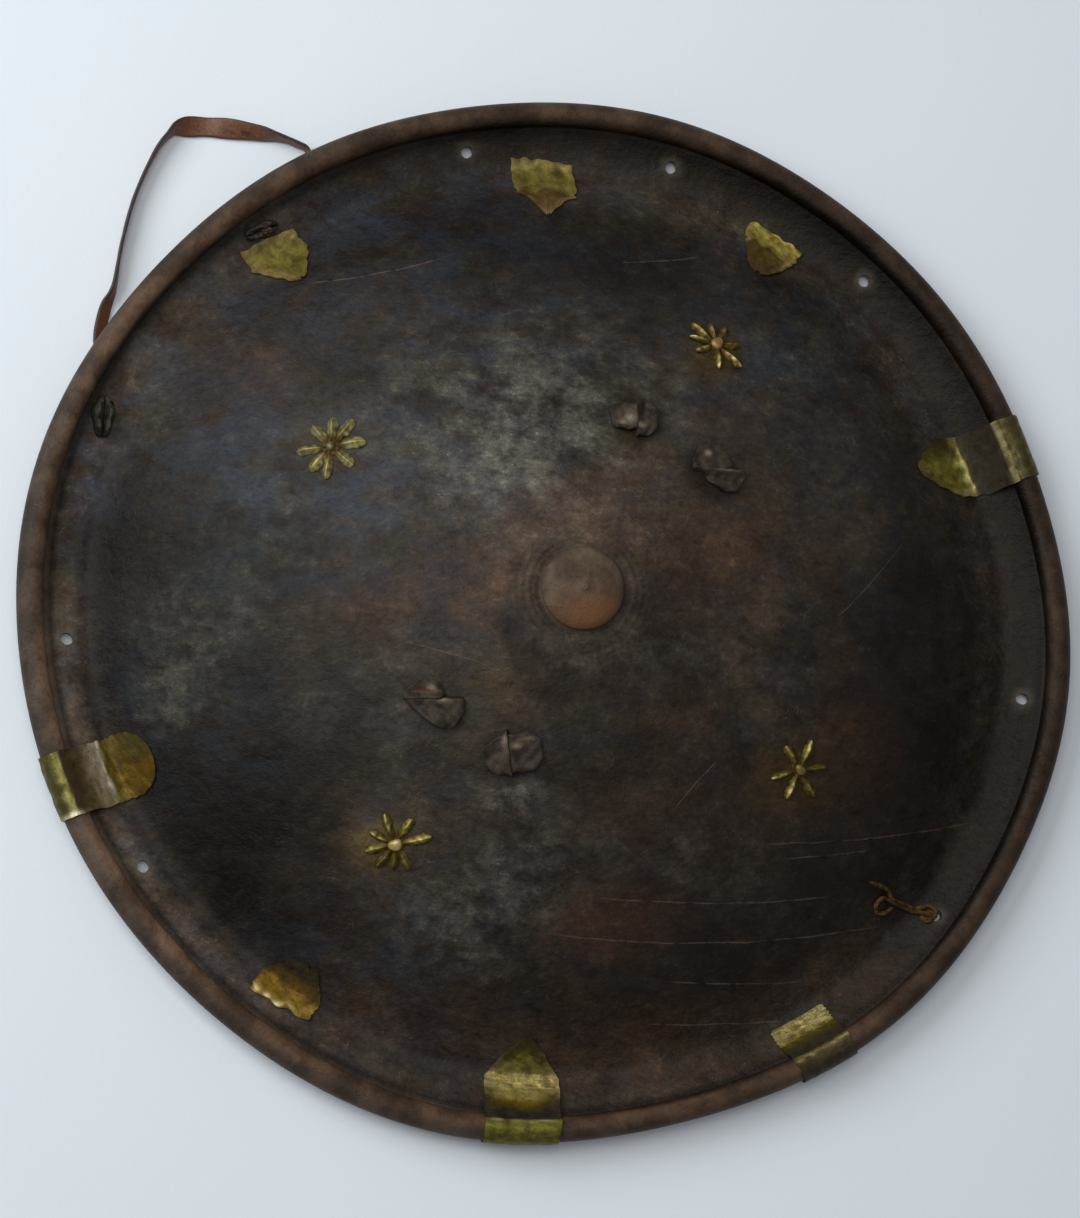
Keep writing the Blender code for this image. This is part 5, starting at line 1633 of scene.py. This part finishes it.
for side, x in enumerate(GRIP_X):
    make_grip(side, x)

strap_knots = [strap_knot(number, knot) for number, knot in enumerate(STRAP_KNOTS, 1)]
for knot in strap_knots:
    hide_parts("carrying_strap")

# %% [markdown]
# ## Iron wire
# Somebody mended something here once: a piece of iron wire through a lacing hole, twisted back on
# itself, with one end bent into an open loop. It is all rust.

# %% Wire
WIRE_R, WIRE_SIDES = 0.0013, 14
# distance in from the hole, distance to the left of it, and lift over the face
WIRE_MAIN = (
    (0.0061, -0.0056, 0.0016), (0.0009, -0.0056, 0.0018), (0.0005, 0.0015, 0.002),
    (0.0059, 0.0023, 0.0022), (0.0094, -0.0017, 0.0024), (0.0132, -0.0046, 0.0022),
    (0.0209, -0.007, 0.0024), (0.0285, -0.0098, 0.0026), (0.0353, -0.0086, 0.0032),
    (0.042, -0.0106, 0.0044), (0.0496, -0.0137, 0.0058),
)
WIRE_BRANCH = (
    (0.0026, 0, -0.0072), (0.0006, 0, -0.002), (0.0016, -0.0012, 0.0014),
    (0.0051, -0.0026, 0.0018), (0.0088, -0.0044, 0.002), (0.0119, -0.0061, 0.002),
    (0.0194, -0.0083, 0.0018), (0.0265, -0.0107, 0.0018), (0.0334, -0.0132, 0.002),
    (0.0344, -0.019, 0.0018), (0.0307, -0.0218, 0.0018), (0.0263, -0.0181, 0.0018),
    (0.0258, -0.0132, 0.0026),
)


def rust():
    """Orange and dark brown scale, pitted all over."""
    iron = Finish("rusty_iron")
    cloud = iron.noise(260.0, 5.0, 0.65)
    grit = iron.noise(1600.0, 3.0, 0.6)
    tone = iron.mix(iron.step(cloud, 0.36, 0.66), (0.024, 0.011, 0.005), (0.110, 0.052, 0.013))
    tone = iron.mix(iron.step(grit, 0.58, 0.78), tone, (0.20, 0.105, 0.028))
    pits = iron.bump(grit, 0.0006, iron.bump(cloud, 0.0010))
    return iron.done(tone, 0.85, pits, specular=0.2)


def wire_shell(route):
    """A round tube along the route, thickened here and there by rust, with rounded ends."""
    inwards, left, lift = np.array(route).T
    x, y = laid(0, 0, math.radians(FIRST_HOLE), HOLE_CIRCLE - inwards, left)
    line = flowing(on_face(x, y, lift), 8)
    ahead = headings(line)
    level, sides = np.array((0.2, -0.5, 0.84)), []
    for way in ahead:
        level = level - level.dot(way) * way
        level /= np.linalg.norm(level)
        sides.append(level)
    side = np.array(sides)
    other = np.cross(ahead, side)
    around = circle(WIRE_SIDES)
    s = np.linspace(0, 1, len(line))
    size = WIRE_R * (1 + 0.10 * np.sin(37 * s) + 0.07 * np.sin(83 * s + 2))
    size = size * np.sqrt(np.clip(1 - (2 * s - 1) ** 40, 0.12, 1))
    rings = line[:, None] + (size[:, None] * np.cos(around))[..., None] * side[:, None]
    return tube(rings + (size[:, None] * np.sin(around))[..., None] * other[:, None])


wire_shells = [wire_shell(WIRE_MAIN), wire_shell(WIRE_BRANCH)]
piece("wire", wire_shells, rust(), "iron_wire", 60)
